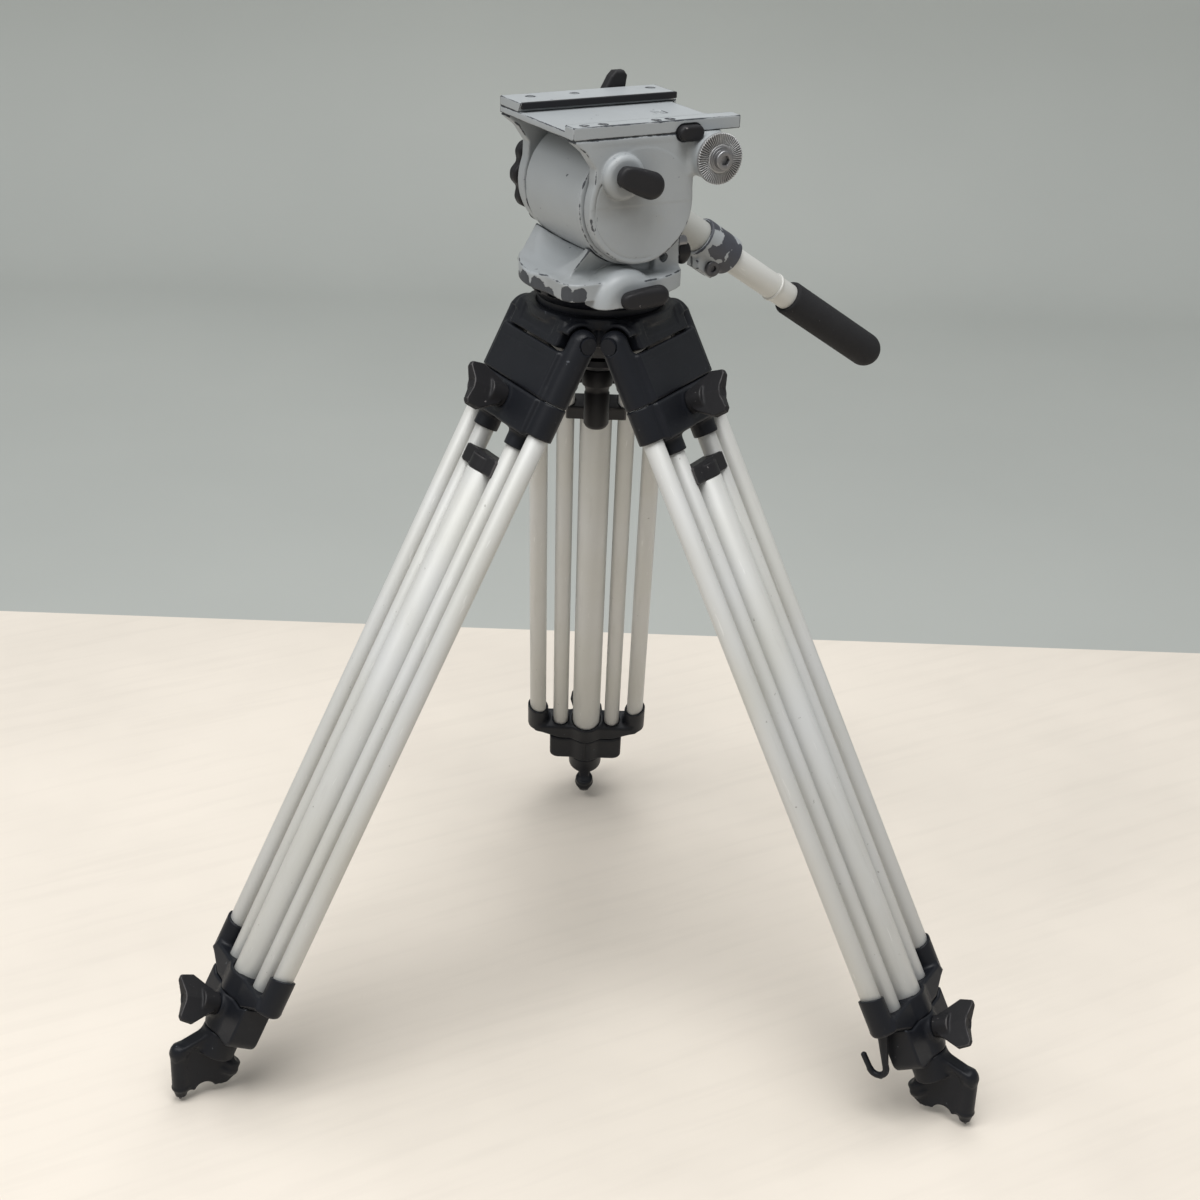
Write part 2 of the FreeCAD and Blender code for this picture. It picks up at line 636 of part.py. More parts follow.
def pan_housing():
    """The cast housing that turns on the plinth and carries the drum."""
    lip_r = BASE_LIP_D / 2
    crest = TILT_Z - DRUM_R * 0.62
    front = lip_r * 0.82
    saddle = [(-lip_r + 4, LIP_TOP - 3), (-front, LIP_TOP + 3), (-DRUM_R * 0.86, crest),
              (DRUM_R * 0.86, crest), (REAR_BLOCK_Y, LIP_TOP + REAR_BLOCK_HEIGHT),
              (REAR_BLOCK_Y, LIP_TOP - 3)]
    half = SADDLE_WIDTH / 2
    body = [rod((0, 0, BASE_Z), (0, 0, LIP_TOP), lip_r)]
    body.append(across(saddle, -half, half))
    nose = block((BASE_NOSE[0], BASE_NOSE_Y, BASE_Z), (BASE_NOSE[1], 0, LIP_TOP))
    body.append(round_edges(nose, BASE_NOSE_CORNER, (0, 0, 1)))
    boss_low = BASE_Z - 6.0
    boss_r = PAN_BOSS_D / 2
    face_x = PAN_BOSS_X + boss_r
    boss = rod((PAN_BOSS_X - boss_r, PAN_BOSS_Y, boss_low), (face_x - 8, PAN_BOSS_Y, boss_low), boss_r)
    cone = Part.makeCone(boss_r, boss_r - 6, 8, V(face_x - 8, PAN_BOSS_Y, boss_low), V(1, 0, 0))
    below = block((-100, -100, boss_low - 60), (100, 100, boss_low))
    body.append(cut(fuse([boss, cone]), [below]))
    shape = fuse(body)
    near = half + 1
    tools = [rod((-HEAD_X, 0, TILT_Z), (HEAD_X, 0, TILT_Z), DRUM_R + BONDED_GAP),
             rod((0, 0, BASE_Z - 40), (0, 0, BASE_Z), PLINTH_D / 2 + 1.5),
             rod((CHEEK_INNER - 1, 0, TILT_Z), (HEAD_X + 30, 0, TILT_Z), CHEEK_RADIUS + 1.0),
             rod((near - 8, REAR_BLOCK_Y - 15, LIP_TOP + 12), (near, REAR_BLOCK_Y - 15, LIP_TOP + 12),
                 3.0),
             level_seat(5.0, LEVEL_D / 2),
             block((-100, REAR_BLOCK_Y, BASE_Z - 1), (100, 200, TILT_Z))]
    shaft_x = face_x
    tools.append(rod((shaft_x - 14, PAN_BOSS_Y, PAN_KNOB_Z), (shaft_x + 5, PAN_BOSS_Y, PAN_KNOB_Z),
                     KNOB_STUD_D / 2 + RUNNING_GAP))
    return cut(shape, tools)


def tilt_drum():
    """The drum between the cheeks, which holds the fluid drag discs and the spring."""
    body = rod((-DRUM_FAR_END, 0, TILT_Z), (DRUM_END, 0, TILT_Z), DRUM_R)
    shoulder = rod((-DRUM_END, 0, TILT_Z), (-DRUM_FAR_END + 1, 0, TILT_Z), DRUM_SHOULDER_D / 2)
    bore = rod((-HEAD_X, 0, TILT_Z), (HEAD_X, 0, TILT_Z), TILT_SHAFT_D / 2 + RUNNING_GAP)
    return fuse([body, shoulder]).cut(bore)


def tilt_shaft():
    return rod((-(CHEEK_INNER + 7), 0, TILT_Z), (CHEEK_INNER + 7, 0, TILT_Z), TILT_SHAFT_D / 2)


def drag_lever(x, y, z, turn):
    """A tapered lever knob on an axis along X, with its stud towards -X."""
    half = DRAG_LEVER_WIDTH / 2
    nose = DRAG_LEVER_LENGTH - half
    start = x + SLIDING_GAP
    end = start + DRAG_LEVER_DEPTH
    tail_r = half * 0.72
    hub = rod((start, y, z), (end, y, z), half)
    tail = rod((start, y + nose - tail_r, z), (end, y + nose - tail_r, z), tail_r)
    sides = across([(y, z - half), (y + nose - tail_r, z - tail_r),
                    (y + nose - tail_r, z + tail_r), (y, z + half)], start, end)
    stud = rod((x - 8, y, z), (start + 1, y, z), KNOB_STUD_D / 2)
    lever = fuse([hub, tail, sides])
    lever.rotate(V(x, y, z), V(1, 0, 0), turn)
    return fuse([lever, stud])


def pan_knob():
    return drag_lever(PAN_BOSS_X + PAN_BOSS_D / 2, PAN_BOSS_Y, PAN_KNOB_Z, 0.0)


def pan_brake():
    """The small brake knob on the back of the housing."""
    x, z = SADDLE_WIDTH / 2 - 11, LIP_TOP + 14
    stem = rod((x, REAR_BLOCK_Y + BONDED_GAP, z), (x, REAR_BLOCK_Y + 6, z), 6.0)
    cap = rod((x, REAR_BLOCK_Y + 5, z), (x, REAR_BLOCK_Y + 14, z), 8.5)
    return fuse([stem, cap])


def level_seat(height, radius):
    """A short cylinder where the bubble level sits, on the lip's far side."""
    x = -(SADDLE_WIDTH / 2 + LEVEL_D / 2 + 1.5)
    return rod((x, LEVEL_Y, LIP_TOP - LEVEL_DEPTH), (x, LEVEL_Y, LIP_TOP + height), radius)


def spirit_level():
    """A round bubble level let into the lip."""
    body = level_seat(0.6, LEVEL_D / 2 - BONDED_GAP)
    body.translate(V(0, 0, BONDED_GAP))
    return body


# --- Head: tilting parts ---------------------------------------------------------------
def cheek_outline():
    front = CHEEK_RADIUS * 0.9
    rise = PLATFORM_RISE
    return [(CHEEK_REAR, 0), (CHEEK_REAR, rise), (-PLATFORM_FRONT + 0.5, rise),
            (-PLATFORM_FRONT + 0.5, rise - 3), (-front, rise * 0.56), (-CHEEK_RADIUS, 0)]


def cheek(side):
    """A side cheek of the tilting yoke: round below, with a rosette boss behind."""
    inner, outer = side * CHEEK_INNER, side * HEAD_X
    low, high = min(inner, outer), max(inner, outer)
    plate = across([(y, TILT_Z + z) for y, z in cheek_outline()], low, high)
    disc = rod((low, 0, TILT_Z), (high, 0, TILT_Z), CHEEK_RADIUS)
    boss_end = side * (HEAD_X + ROSETTE_BOSS_LENGTH)
    boss = rod((inner, ROSETTE_Y, ROSETTE_Z), (boss_end, ROSETTE_Y, ROSETTE_Z), ROSETTE_BOSS_D / 2)
    neck = across([(CHEEK_REAR - 4, PLATFORM_Z), (CHEEK_REAR - 4, ROSETTE_Z - 12),
                   (ROSETTE_Y, ROSETTE_Z - 12), (ROSETTE_Y + 10, PLATFORM_Z)], low, high)
    shapes = [plate, disc, boss, neck]
    tools = [rod((side * (CHEEK_INNER - 1), 0, TILT_Z), (side * (CHEEK_INNER + 7.1), 0, TILT_Z),
                 TILT_SHAFT_D / 2 + BONDED_GAP),
             rod((side * (HEAD_X - 12), ROSETTE_Y, ROSETTE_Z), (2 * boss_end, ROSETTE_Y, ROSETTE_Z),
                 ROSETTE_BOLT_D / 2 + BONDED_GAP)]
    if side > 0:
        z = TILT_Z + TILT_BOSS_RISE
        boss_x = HEAD_X + TILT_BOSS_DEPTH
        shapes.append(rod((HEAD_X - 1, TILT_BOSS_Y, z), (boss_x, TILT_BOSS_Y, z), TILT_BOSS_D / 2))
        tools.append(rod((HEAD_X - 4, TILT_BOSS_Y, z), (boss_x + 5, TILT_BOSS_Y, z),
                         KNOB_STUD_D / 2 + RUNNING_GAP))
    else:
        face = -(HEAD_X + FAR_DISC_THICKNESS)
        shapes.append(rod((-HEAD_X + 1, 0, TILT_Z), (face, 0, TILT_Z), FAR_DISC_D / 2))
        tools.append(rod((face - 1, 0, TILT_Z), (-(CHEEK_INNER + 7), 0, TILT_Z),
                         KNOB_STUD_D / 2 + RUNNING_GAP))
    shape = fuse(shapes)
    roof = block((-200, -200, PLATFORM_Z), (200, 200, PLATFORM_Z + 60))
    return cut(shape, tools + [roof, button_slot()])


def platform():
    """The camera platform, with a notched back edge and holes for its screws."""
    front, rear, half = -PLATFORM_FRONT, PLATFORM_REAR, HEAD_X
    low = PLATFORM_Z + BONDED_GAP
    step = PLATE_SIDE_STEP
    notch = PLATE_REAR_NOTCH
    outline = [(-half, front), (half, front), (half, rear), (half - 24, rear),
               (half - 36, rear - notch), (-half + 36, rear - notch), (-half + 24, rear),
               (-half, rear)]
    body = prism([(x, y, low) for x, y in outline], (0, 0, PLATFORM_THICKNESS - BONDED_GAP))
    channel = block((-half - 1, front - 1, CHANNEL_Z), (half - step, rear + 1, PLATFORM_TOP + 1))
    seat = block((-half - 1, front - 1, CHANNEL_Z - RAIL_SEAT),
                 (-half + RAIL_WIDTH + SLIDING_GAP, rear + 1, PLATFORM_TOP + 1))
    tools = [channel, seat]
    for x, y in screw_places():
        tools.append(rod((x, y, low - 1), (x, y, PLATFORM_TOP + 1), 2.6))
    tools.append(button_slot())
    return cut(body, tools)


def screw_places():
    """Eight screws that hold the platform on its cheeks."""
    half = HEAD_X - CHEEK_THICKNESS / 2
    front, rear = -PLATFORM_FRONT + 12, CHEEK_REAR - 20
    return [(side * half, y) for side in (1, -1)
            for y in (front, front + 16, rear - 12, rear)]


def plate_screws():
    """Cap screws through the platform, the far ones sunk under the rail."""
    screws = []
    for x, y in screw_places():
        top = (PLATFORM_TOP if x > 0 else CHANNEL_Z - RAIL_SEAT) - 1.0
        screws.append(rod((x, y, PLATFORM_Z + 2), (x, y, top), 2.5))
    return screws


def plate_rail():
    """The raised bar in its shallow seat on the far side, undercut along the channel."""
    low = CHANNEL_Z - RAIL_SEAT + BONDED_GAP
    high = PLATFORM_TOP + RAIL_HEIGHT
    out, inn = -HEAD_X, -HEAD_X + RAIL_WIDTH
    front = -PLATFORM_FRONT
    outline = [(out, low), (inn - RAIL_UNDERCUT, low), (inn - RAIL_UNDERCUT, low + 1.5),
               (inn, high - 2.0), (inn, high), (out, high)]
    return prism([(x, front, z) for x, z in outline], (0, RAIL_LENGTH, 0))


def plate_lever():
    """The lever on the far side that locks the camera plate."""
    y, z = LEVER_Y, PLATFORM_Z + LEVER_RISE
    face = -HEAD_X - SLIDING_GAP
    hub = rod((face, y, z), (face - 11, y, z), 7.0)
    arm = across([(y - 6.5, z), (y + 6.0, z + 1), (y + 13.5, z + 24), (y + 4.0, z + 26.5)],
                 face - 11, face - 1)
    return fuse([hub, arm])


def tilt_knob():
    return drag_lever(HEAD_X + TILT_BOSS_DEPTH, TILT_BOSS_Y, TILT_Z + TILT_BOSS_RISE, -20.0)


def drag_wheel():
    """The lobed counterbalance wheel on the far side."""
    start = -(HEAD_X + FAR_DISC_THICKNESS + SLIDING_GAP)
    end = start - WHEEL_DEPTH
    outer = WHEEL_D / 2
    body = rod((start, 0, TILT_Z), (end, 0, TILT_Z), outer)
    tools = []
    scallop = WHEEL_LOBE_DEPTH * 1.8
    for i in range(WHEEL_LOBES):
        turn = 2 * math.pi * i / WHEEL_LOBES
        reach = outer + scallop - WHEEL_LOBE_DEPTH
        y, z = reach * math.cos(turn), TILT_Z + reach * math.sin(turn)
        tools.append(rod((start + 1, y, z), (end - 1, y, z), scallop))
    dish = rod((end - 1, 0, TILT_Z), (end + 3, 0, TILT_Z), outer * 0.55)
    stud = rod((start - 1, 0, TILT_Z), (-(CHEEK_INNER + 8), 0, TILT_Z), KNOB_STUD_D / 2)
    return fuse([cut(body, tools + [dish]), stud])


def button_solid(start, end, grow):
    """A flat-sided oval along X."""
    r = BUTTON_HEIGHT / 2 + grow
    straight = (BUTTON_LENGTH - BUTTON_HEIGHT) / 2
    z = PLATFORM_Z
    low, high = BUTTON_Y - straight, BUTTON_Y + straight
    middle = across([(low, z - r), (high, z - r), (high, z + r), (low, z + r)], start, end)
    ends = [rod((start, y, z), (end, y, z), r) for y in (low, high)]
    return fuse([middle] + ends)


def button_slot():
    """The pocket in the platform and the near cheek that the button slides in."""
    return button_solid(HEAD_X - BUTTON_DEPTH - BUTTON_TRAVEL - 1, HEAD_X + 20, SLIDING_GAP)


def release_button():
    return button_solid(HEAD_X - BUTTON_DEPTH, HEAD_X + BUTTON_PROUD, 0.0)


def rosettes():
    """The two toothed discs that a pan bar clamps on, with the near one's cap bolt."""
    solids = []
    boss_end = HEAD_X + ROSETTE_BOSS_LENGTH + BONDED_GAP
    for side in (1, -1):
        disc = rod((side * boss_end, ROSETTE_Y, ROSETTE_Z),
                   (side * ROSETTE_FACE, ROSETTE_Y, ROSETTE_Z), ROSETTE_D / 2)
        bore = rod((side * HEAD_X, ROSETTE_Y, ROSETTE_Z),
                   (side * (ROSETTE_FACE + 5), ROSETTE_Y, ROSETTE_Z),
                   ROSETTE_BOLT_D / 2 + BONDED_GAP)
        solids.append(disc.cut(bore))
    bolt = fuse([rod((HEAD_X - 8, ROSETTE_Y, ROSETTE_Z), (ROSETTE_FACE + 1, ROSETTE_Y, ROSETTE_Z),
                     ROSETTE_BOLT_D / 2),
                 rod((ROSETTE_FACE + BONDED_GAP, ROSETTE_Y, ROSETTE_Z),
                     (ROSETTE_FACE + 6, ROSETTE_Y, ROSETTE_Z), ROSETTE_HEAD_D / 2)])
    key = rod((ROSETTE_FACE + 2.5, ROSETTE_Y, ROSETTE_Z), (ROSETTE_FACE + 8, ROSETTE_Y, ROSETTE_Z),
              3.4)
    solids.append(bolt.cut(key))
    return solids


# --- Pan bar ---------------------------------------------------------------------------
def bar_point(distance, off_axis=0.0, x=None):
    """A point along the pan bar from its elbow, off its axis in the YZ plane."""
    y = PAN_ELBOW[0] + distance * math.cos(BAR) + off_axis * math.sin(BAR)
    z = TILT_Z + PAN_ELBOW[1] - distance * math.sin(BAR) + off_axis * math.cos(BAR)
    return (BAR_X if x is None else x, y, z)


def pan_arm():
    """The clamp arm: a toothed disc, a cranked arm and the socket for the tube."""
    disc_face = -(ROSETTE_FACE + RUNNING_GAP)
    socket_r = PAN_SOCKET_D / 2
    hub = rod((disc_face, ROSETTE_Y, ROSETTE_Z), (BAR_X - 8, ROSETTE_Y, ROSETTE_Z), ROSETTE_D / 2)
    start = bar_point(0.0)
    crank = rod((BAR_X, ROSETTE_Y, ROSETTE_Z), start, socket_r - 2.0)
    shapes = [hub, crank, ball(start, socket_r),
              rod(start, bar_point(PAN_SOCKET_LENGTH), socket_r)]
    bolt = rod((disc_face - 2, ROSETTE_Y, ROSETTE_Z), (-(HEAD_X - 8), ROSETTE_Y, ROSETTE_Z),
               ROSETTE_BOLT_D / 2 - RUNNING_GAP)
    tools = [rod(bar_point(8.0), bar_point(PAN_SOCKET_LENGTH + 1), PAN_TUBE_D / 2 + RUNNING_GAP),
             block((disc_face, ROSETTE_Y - 60, ROSETTE_Z - 120),
                   (disc_face + 60, ROSETTE_Y + 160, ROSETTE_Z + 60))]
    arm = cut(fuse(shapes), tools)
    return fuse([arm, bolt])


def pan_clamp():
    """The band clamp on the end of the socket, with its pinch screw as a second solid."""
    socket_r = PAN_SOCKET_D / 2
    band_r = socket_r + PAN_CLAMP_WALL
    start = PAN_SOCKET_LENGTH - PAN_CLAMP_LENGTH + 4
    end = start + PAN_CLAMP_LENGTH
    lug = 12.0
    low = band_r + 8.0
    middle = (start + end) / 2
    corners = [(middle - lug, -socket_r + 2), (middle + lug, -socket_r + 2), (middle + lug, -low + 4),
               (middle + lug - 4, -low), (middle - lug + 4, -low), (middle - lug, -low + 4)]
    half = 9.0
    ears = prism([bar_point(d, off, BAR_X - half) for d, off in corners], (2 * half, 0, 0))
    band = rod(bar_point(start), bar_point(end), band_r)
    screw_at = bar_point(middle + 2, -(band_r + 2.0))
    bore_to = PAN_SOCKET_LENGTH + 1
    slit = prism([bar_point(d, off, BAR_X - 1.0) for d, off in
                  ((start - 1, -socket_r), (end + 1, -socket_r), (end + 1, -low - 1),
                   (start - 1, -low - 1))], (2.0, 0, 0))
    low_x, high_x = BAR_X - half - 3, BAR_X + half + 3
    tools = [rod(bar_point(start - 1), bar_point(bore_to), socket_r + BONDED_GAP),
             rod(bar_point(start - 1), bar_point(end + 1), PAN_TUBE_D / 2 + RUNNING_GAP),
             slit,
             rod((low_x, screw_at[1], screw_at[2]), (high_x, screw_at[1], screw_at[2]),
                 PAN_SCREW_D / 2 + BONDED_GAP)]
    screw = fuse([rod((low_x + 1, screw_at[1], screw_at[2]), (high_x, screw_at[1], screw_at[2]),
                      PAN_SCREW_D / 2),
                  rod((BAR_X + half + BONDED_GAP, screw_at[1], screw_at[2]),
                      (high_x + 1, screw_at[1], screw_at[2]), PAN_SCREW_D / 2 + 2)])
    return [cut(fuse([band, ears]), tools), screw]


def pan_tube():
    """The telescopic tube with its stop ring and the grip's core."""
    start = PAN_SOCKET_LENGTH - PAN_TUBE_INSERT
    grip_start = PAN_SOCKET_LENGTH + PAN_TUBE_SHOWING
    ring = PAN_SOCKET_LENGTH + PAN_TUBE_SHOWING - 21
    shapes = [rod(bar_point(start), bar_point(grip_start + GRIP_LENGTH - 14), PAN_TUBE_D / 2),
              rod(bar_point(ring), bar_point(ring + 3), PAN_TUBE_D / 2 + 1.2)]
    bore = rod(bar_point(start - 1), bar_point(grip_start + GRIP_LENGTH - 20),
               PAN_TUBE_D / 2 - TUBE_WALL)
    return fuse(shapes).cut(bore)


def grip():
    """The foam grip, closed and domed at its end."""
    start = PAN_SOCKET_LENGTH + PAN_TUBE_SHOWING
    end = start + GRIP_LENGTH
    grip_r = GRIP_D / 2
    dome = ball(bar_point(end - grip_r), grip_r)
    body = fuse([rod(bar_point(start), bar_point(end - grip_r), grip_r), dome])
    core = rod(bar_point(start - 1), bar_point(end - 14), PAN_TUBE_D / 2 + BONDED_GAP)
    return body.cut(core)


# --- Writing the pieces ----------------------------------------------------------------
def write(name, shape):
    """Writes one piece, or a group of separate solids, as a STEP file."""
    solids = shape if isinstance(shape, list) else shape.Solids
    whole = solids[0] if len(solids) == 1 else Part.makeCompound(solids)
    whole.exportStep(os.path.join("parts", name + ".step"))
    valid = all(solid.isValid() for solid in solids)
    volume = sum(solid.Volume for solid in solids)
    print(f"{name:24s} solids {len(solids)} valid {valid} volume {volume / 1000:9.2f} cm3")


def main():
    os.makedirs("parts", exist_ok=True)
    leg_pieces = {
        "top_casting": top_casting(), "outer_tubes": outer_tubes(),
        "mid_yoke": mid_yoke(), "inner_tubes": inner_tubes(), "mid_clamp": mid_clamp(),
        "upper_knob": upper_knob(), "lower_knob": lower_knob(), "guide_block": guide_block(),
        "centre_tube": centre_tube(), "foot": foot()}
    for leg, azimuth in LEG_AZIMUTHS.items():
        for name, shape in leg_pieces.items():
            solids = shape if isinstance(shape, list) else shape.Solids
            write(f"{leg}_{name}", [place_on_leg(solid, azimuth) for solid in solids])
        write(f"{leg}_outer_yoke", place_on_leg(outer_yoke(leg == "leg_b"), azimuth))
    write("leg_b_hook", place_on_leg(hook(), LEG_AZIMUTHS["leg_b"]))
    write("crown", crown())
    write("hinge_pins", hinge_pins())
    write("half_ball", half_ball())
    write("tie_down", tie_down())
    write("tie_handle", tie_handle())
    write("plinth", plinth())
    write("pan_housing", pan_housing())
    write("pan_knob", pan_knob())
    write("pan_brake", pan_brake())
    write("spirit_level", spirit_level())
    write("tilt_drum", tilt_drum())
    write("tilt_shaft", tilt_shaft())
    write("cheek_near", cheek(1))
    write("cheek_far", cheek(-1))
    write("drag_wheel", drag_wheel())
    write("platform", platform())
    write("plate_screws", plate_screws())
    write("plate_rail", plate_rail())
    write("plate_lever", plate_lever())
    write("tilt_knob", tilt_knob())
    write("release_button", release_button())
    write("rosettes", rosettes())
    write("pan_arm", pan_arm())
    write("pan_clamp", pan_clamp())
    write("pan_tube", pan_tube())
    write("grip", grip())


main()
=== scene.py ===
import math
import json
import bpy
import numpy as np
from mathutils import Matrix, Vector


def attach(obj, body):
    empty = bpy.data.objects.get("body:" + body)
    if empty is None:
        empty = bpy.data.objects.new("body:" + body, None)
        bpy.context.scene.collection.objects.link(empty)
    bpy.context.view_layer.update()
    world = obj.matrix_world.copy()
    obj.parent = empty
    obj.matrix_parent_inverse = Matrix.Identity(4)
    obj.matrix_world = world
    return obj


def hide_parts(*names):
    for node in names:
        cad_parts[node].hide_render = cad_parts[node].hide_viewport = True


bl_info = {
    "name": "Fluid head tripod finish",
    "version": (1, 0, 0),
    "blender": (4, 5, 0),
    "location": "View3D > Sidebar > Tripod",
    "description": "Builds the cast, painted and moulded surfaces of a camera tripod with a fluid head",
    "category": "Object",
}

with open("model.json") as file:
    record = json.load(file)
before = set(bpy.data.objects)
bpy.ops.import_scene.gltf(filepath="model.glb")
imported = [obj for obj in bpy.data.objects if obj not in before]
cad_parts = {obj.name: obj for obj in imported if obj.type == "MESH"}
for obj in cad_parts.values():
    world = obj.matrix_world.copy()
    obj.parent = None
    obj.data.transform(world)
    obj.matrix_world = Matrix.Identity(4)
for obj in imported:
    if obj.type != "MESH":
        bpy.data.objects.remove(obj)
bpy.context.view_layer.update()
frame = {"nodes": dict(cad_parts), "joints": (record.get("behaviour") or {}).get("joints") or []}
JOINTS = {joint["name"]: joint for joint in frame["joints"]}
LEGS = ("leg_a", "leg_b", "leg_c")
MM = 0.001
# Reach of the edge measure, which drives edge wear and also painted shade in inner corners
WEAR_AND_SHADE_REACH = 1.3


# --- Places, read from the frame -------------------------------------------------------
def at_joint(name):
    """A joint's point, in millimetres in the row frame."""
    return Vector(JOINTS[name]["pos_m"]) / MM


def leg_frame(leg):
    """Takes (w, n, s) millimetres on a leg to row metres: across it, outwards and down it."""
    w = Vector(JOINTS[leg + "_spread"]["axis"]).normalized()
    s = Vector(JOINTS[leg + "_middle_slide"]["axis"]).normalized()
    n = s.cross(w)
    turn = Matrix((w, n, s)).transposed().to_4x4()
    return Matrix.Translation(JOINTS[leg + "_spread"]["pos_m"]) @ turn @ Matrix.Scale(MM, 4)


ROW = Matrix.Scale(MM, 4)


def span(node, place=ROW):
    """The lowest and highest corners of a CAD node in a local frame, in millimetres."""
    back = np.array(place.inverted())
    corners = np.array([v.co for v in frame["nodes"][node].data.vertices], float)
    local = corners @ back[:3, :3].T + back[:3, 3]
    return local.min(0), local.max(0)


LEG = leg_frame("leg_a")
TOP = span("leg_a_top_casting", LEG)
OUTER = span("leg_a_outer_tubes", LEG)
INNER = span("leg_a_inner_tubes", LEG)
CENTRE = span("leg_a_centre_tube", LEG)
YOKE = span("leg_a_outer_yoke", LEG)
MIDDLE = span("leg_a_mid_yoke", LEG)
CLAMP = span("leg_a_mid_clamp", LEG)
GUIDE = span("leg_a_guide_block", LEG)
FOOT = span("leg_a_foot", LEG)
COLLAR_R = -TOP[0][2]
OUTER_W = TOP[1][0] - COLLAR_R
OUTER_R = OUTER[1][1]
INNER_R = INNER[1][1]
INNER_W = INNER[1][0] - INNER_R
CENTRE_R = CENTRE[1][0]
CAST_FACE = TOP[1][1]
CUP_R = YOKE[1][0] - OUTER_W
UPPER_KNOB_S = (LEG.inverted() @ Vector(JOINTS["leg_a_upper_clamp_turn"]["pos_m"])).z
LOWER_KNOB_S = (LEG.inverted() @ Vector(JOINTS["leg_a_lower_clamp_turn"]["pos_m"])).z
SPREAD = math.atan2(math.hypot(LEG[0][2], LEG[1][2]), -LEG[2][2])

HOUSING = span("pan_housing")
DRUM = span("tilt_drum")
PLATFORM = span("platform")
RAIL = span("plate_rail")
CHEEK = span("cheek_near")
RING = span("crown")
PLINTH = span("plinth")
TILT = at_joint("tilt")
ROSETTE = at_joint("pan_bar_angle")
ROSETTE_SPAN = span("rosettes")
TILT_DRAG = at_joint("tilt_drag_turn")
PAN_DRAG = at_joint("pan_drag_turn")
DRUM_R = DRUM[1][1]
HEAD_X = PLATFORM[1][0]
BAR = Vector(JOINTS["pan_bar_slide"]["axis"]).normalized()


# --- Solids described by their distance fields, in millimetres -------------------------
def rod(start, end, radius, end_radius=None, edge=0.0):
    """A cylinder, or a cone, with rounded rims."""
    a, b = np.array(start, float), np.array(end, float)
    length = np.linalg.norm(b - a)
    u = (b - a) / length
    slope = 0.0 if end_radius is None else (end_radius - radius) / length
    lean = math.cos(math.atan(slope))

    def field(p):
        q = p - a
        along = q @ u
        out = np.sqrt(np.maximum((q * q).sum(-1) - along * along, 0))
        x = (out - radius - slope * along) * lean + edge
        y = np.abs(along - length / 2) - length / 2 + edge
        return np.hypot(np.maximum(x, 0), np.maximum(y, 0)) + np.minimum(np.maximum(x, y), 0) - edge
    return field


def bar(start, end, radius):
    """A rod with round ends."""
    a, b = np.array(start, float), np.array(end, float)
    d = b - a

    def field(p):
        t = np.clip(((p - a) @ d) / (d @ d), 0, 1)
        return np.linalg.norm(p - a - t[..., None] * d, axis=-1) - radius
    return field


def ball(centre, radius, stretch=(1, 1, 1)):
    c, k = np.array(centre, float), np.array(stretch, float)
    return lambda p: (np.linalg.norm((p - c) / k, axis=-1) - radius) * k.min()


def block(low, high, edge=0.0):
    lo, hi = np.array(low, float), np.array(high, float)
    middle, half = (lo + hi) / 2, (hi - lo) / 2 - edge

    def field(p):
        q = np.abs(p - middle) - half
        return np.linalg.norm(np.maximum(q, 0), axis=-1) + np.minimum(q.max(-1), 0) - edge
    return field


def ring(centre, axis, radius, thick):
    c, u = np.array(centre, float), np.array(axis, float)

    def field(p):
        q = p - c
        along = q @ u
        out = np.sqrt(np.maximum((q * q).sum(-1) - along * along, 0))
        return np.hypot(out - radius, along) - thick
    return field


def outline(points):
    """The distance to a closed flat outline, negative inside."""
    v = np.array(points, float)

    def field(x, y):
        near, sign = None, np.ones(np.shape(x))
        for i in range(len(v)):
            e = v[i - 1] - v[i]
            wx, wy = x - v[i][0], y - v[i][1]
            t = np.clip((wx * e[0] + wy * e[1]) / (e @ e), 0, 1)
            gap = (wx - e[0] * t) ** 2 + (wy - e[1] * t) ** 2
            near = gap if near is None else np.minimum(near, gap)
            above, below, left = y >= v[i][1], y < v[i - 1][1], e[0] * wy > e[1] * wx
            sign = np.where((above & below & left) | ~(above | below | left), -sign, sign)
        return sign * np.sqrt(near)
    return field


def plate(points, axis, low, high, edge=0.0):
    """An outline pushed along X, Y or Z; its points are in the other two axes."""
    flat = outline(points)
    first, second = [i for i in range(3) if i != axis]

    def field(p):
        x = flat(p[..., first], p[..., second]) + edge
        y = np.abs(p[..., axis] - (low + high) / 2) - (high - low) / 2 + edge
        return np.hypot(np.maximum(x, 0), np.maximum(y, 0)) + np.minimum(np.maximum(x, y), 0) - edge
    return field


def turned(points, origin=(0, 0, 0), axis=(0, 0, 1)):
    """An outline of (radius, height) turned round an axis."""
    flat = outline(points)
    c, u = np.array(origin, float), np.array(axis, float)

    def field(p):
        q = p - c
        along = q @ u
        out = np.sqrt(np.maximum((q * q).sum(-1) - along * along, 0))
        return flat(out, along)
    return field


def half_space(point, normal):
    """Everything behind a plane."""
    c, u = np.array(point, float), np.array(normal, float)
    u = u / np.linalg.norm(u)
    return lambda p: (p - c) @ u


def soft_min(a, b, k):
    return np.minimum(a, b) - np.maximum(k - np.abs(a - b), 0) ** 2 / (4 * max(k, 1e-6))


def join(k, *parts):
    """A union whose inner corners have a fillet of about k."""
    def field(p):
        total = parts[0](p)
        for part in parts[1:]:
            total = soft_min(total, part(p), k)
        return total
    return field


def cut(k, body, *tools):
    """A body less some tools, with edges softened by about k."""
    def field(p):
        total = body(p)
        for tool in tools:
            total = -soft_min(-total, tool(p), k)
        return total
    return field


def both(k, *parts):
    """What all the parts share."""
    def field(p):
        total = parts[0](p)
        for part in parts[1:]:
            total = -soft_min(-total, -part(p), k)
        return total
    return field


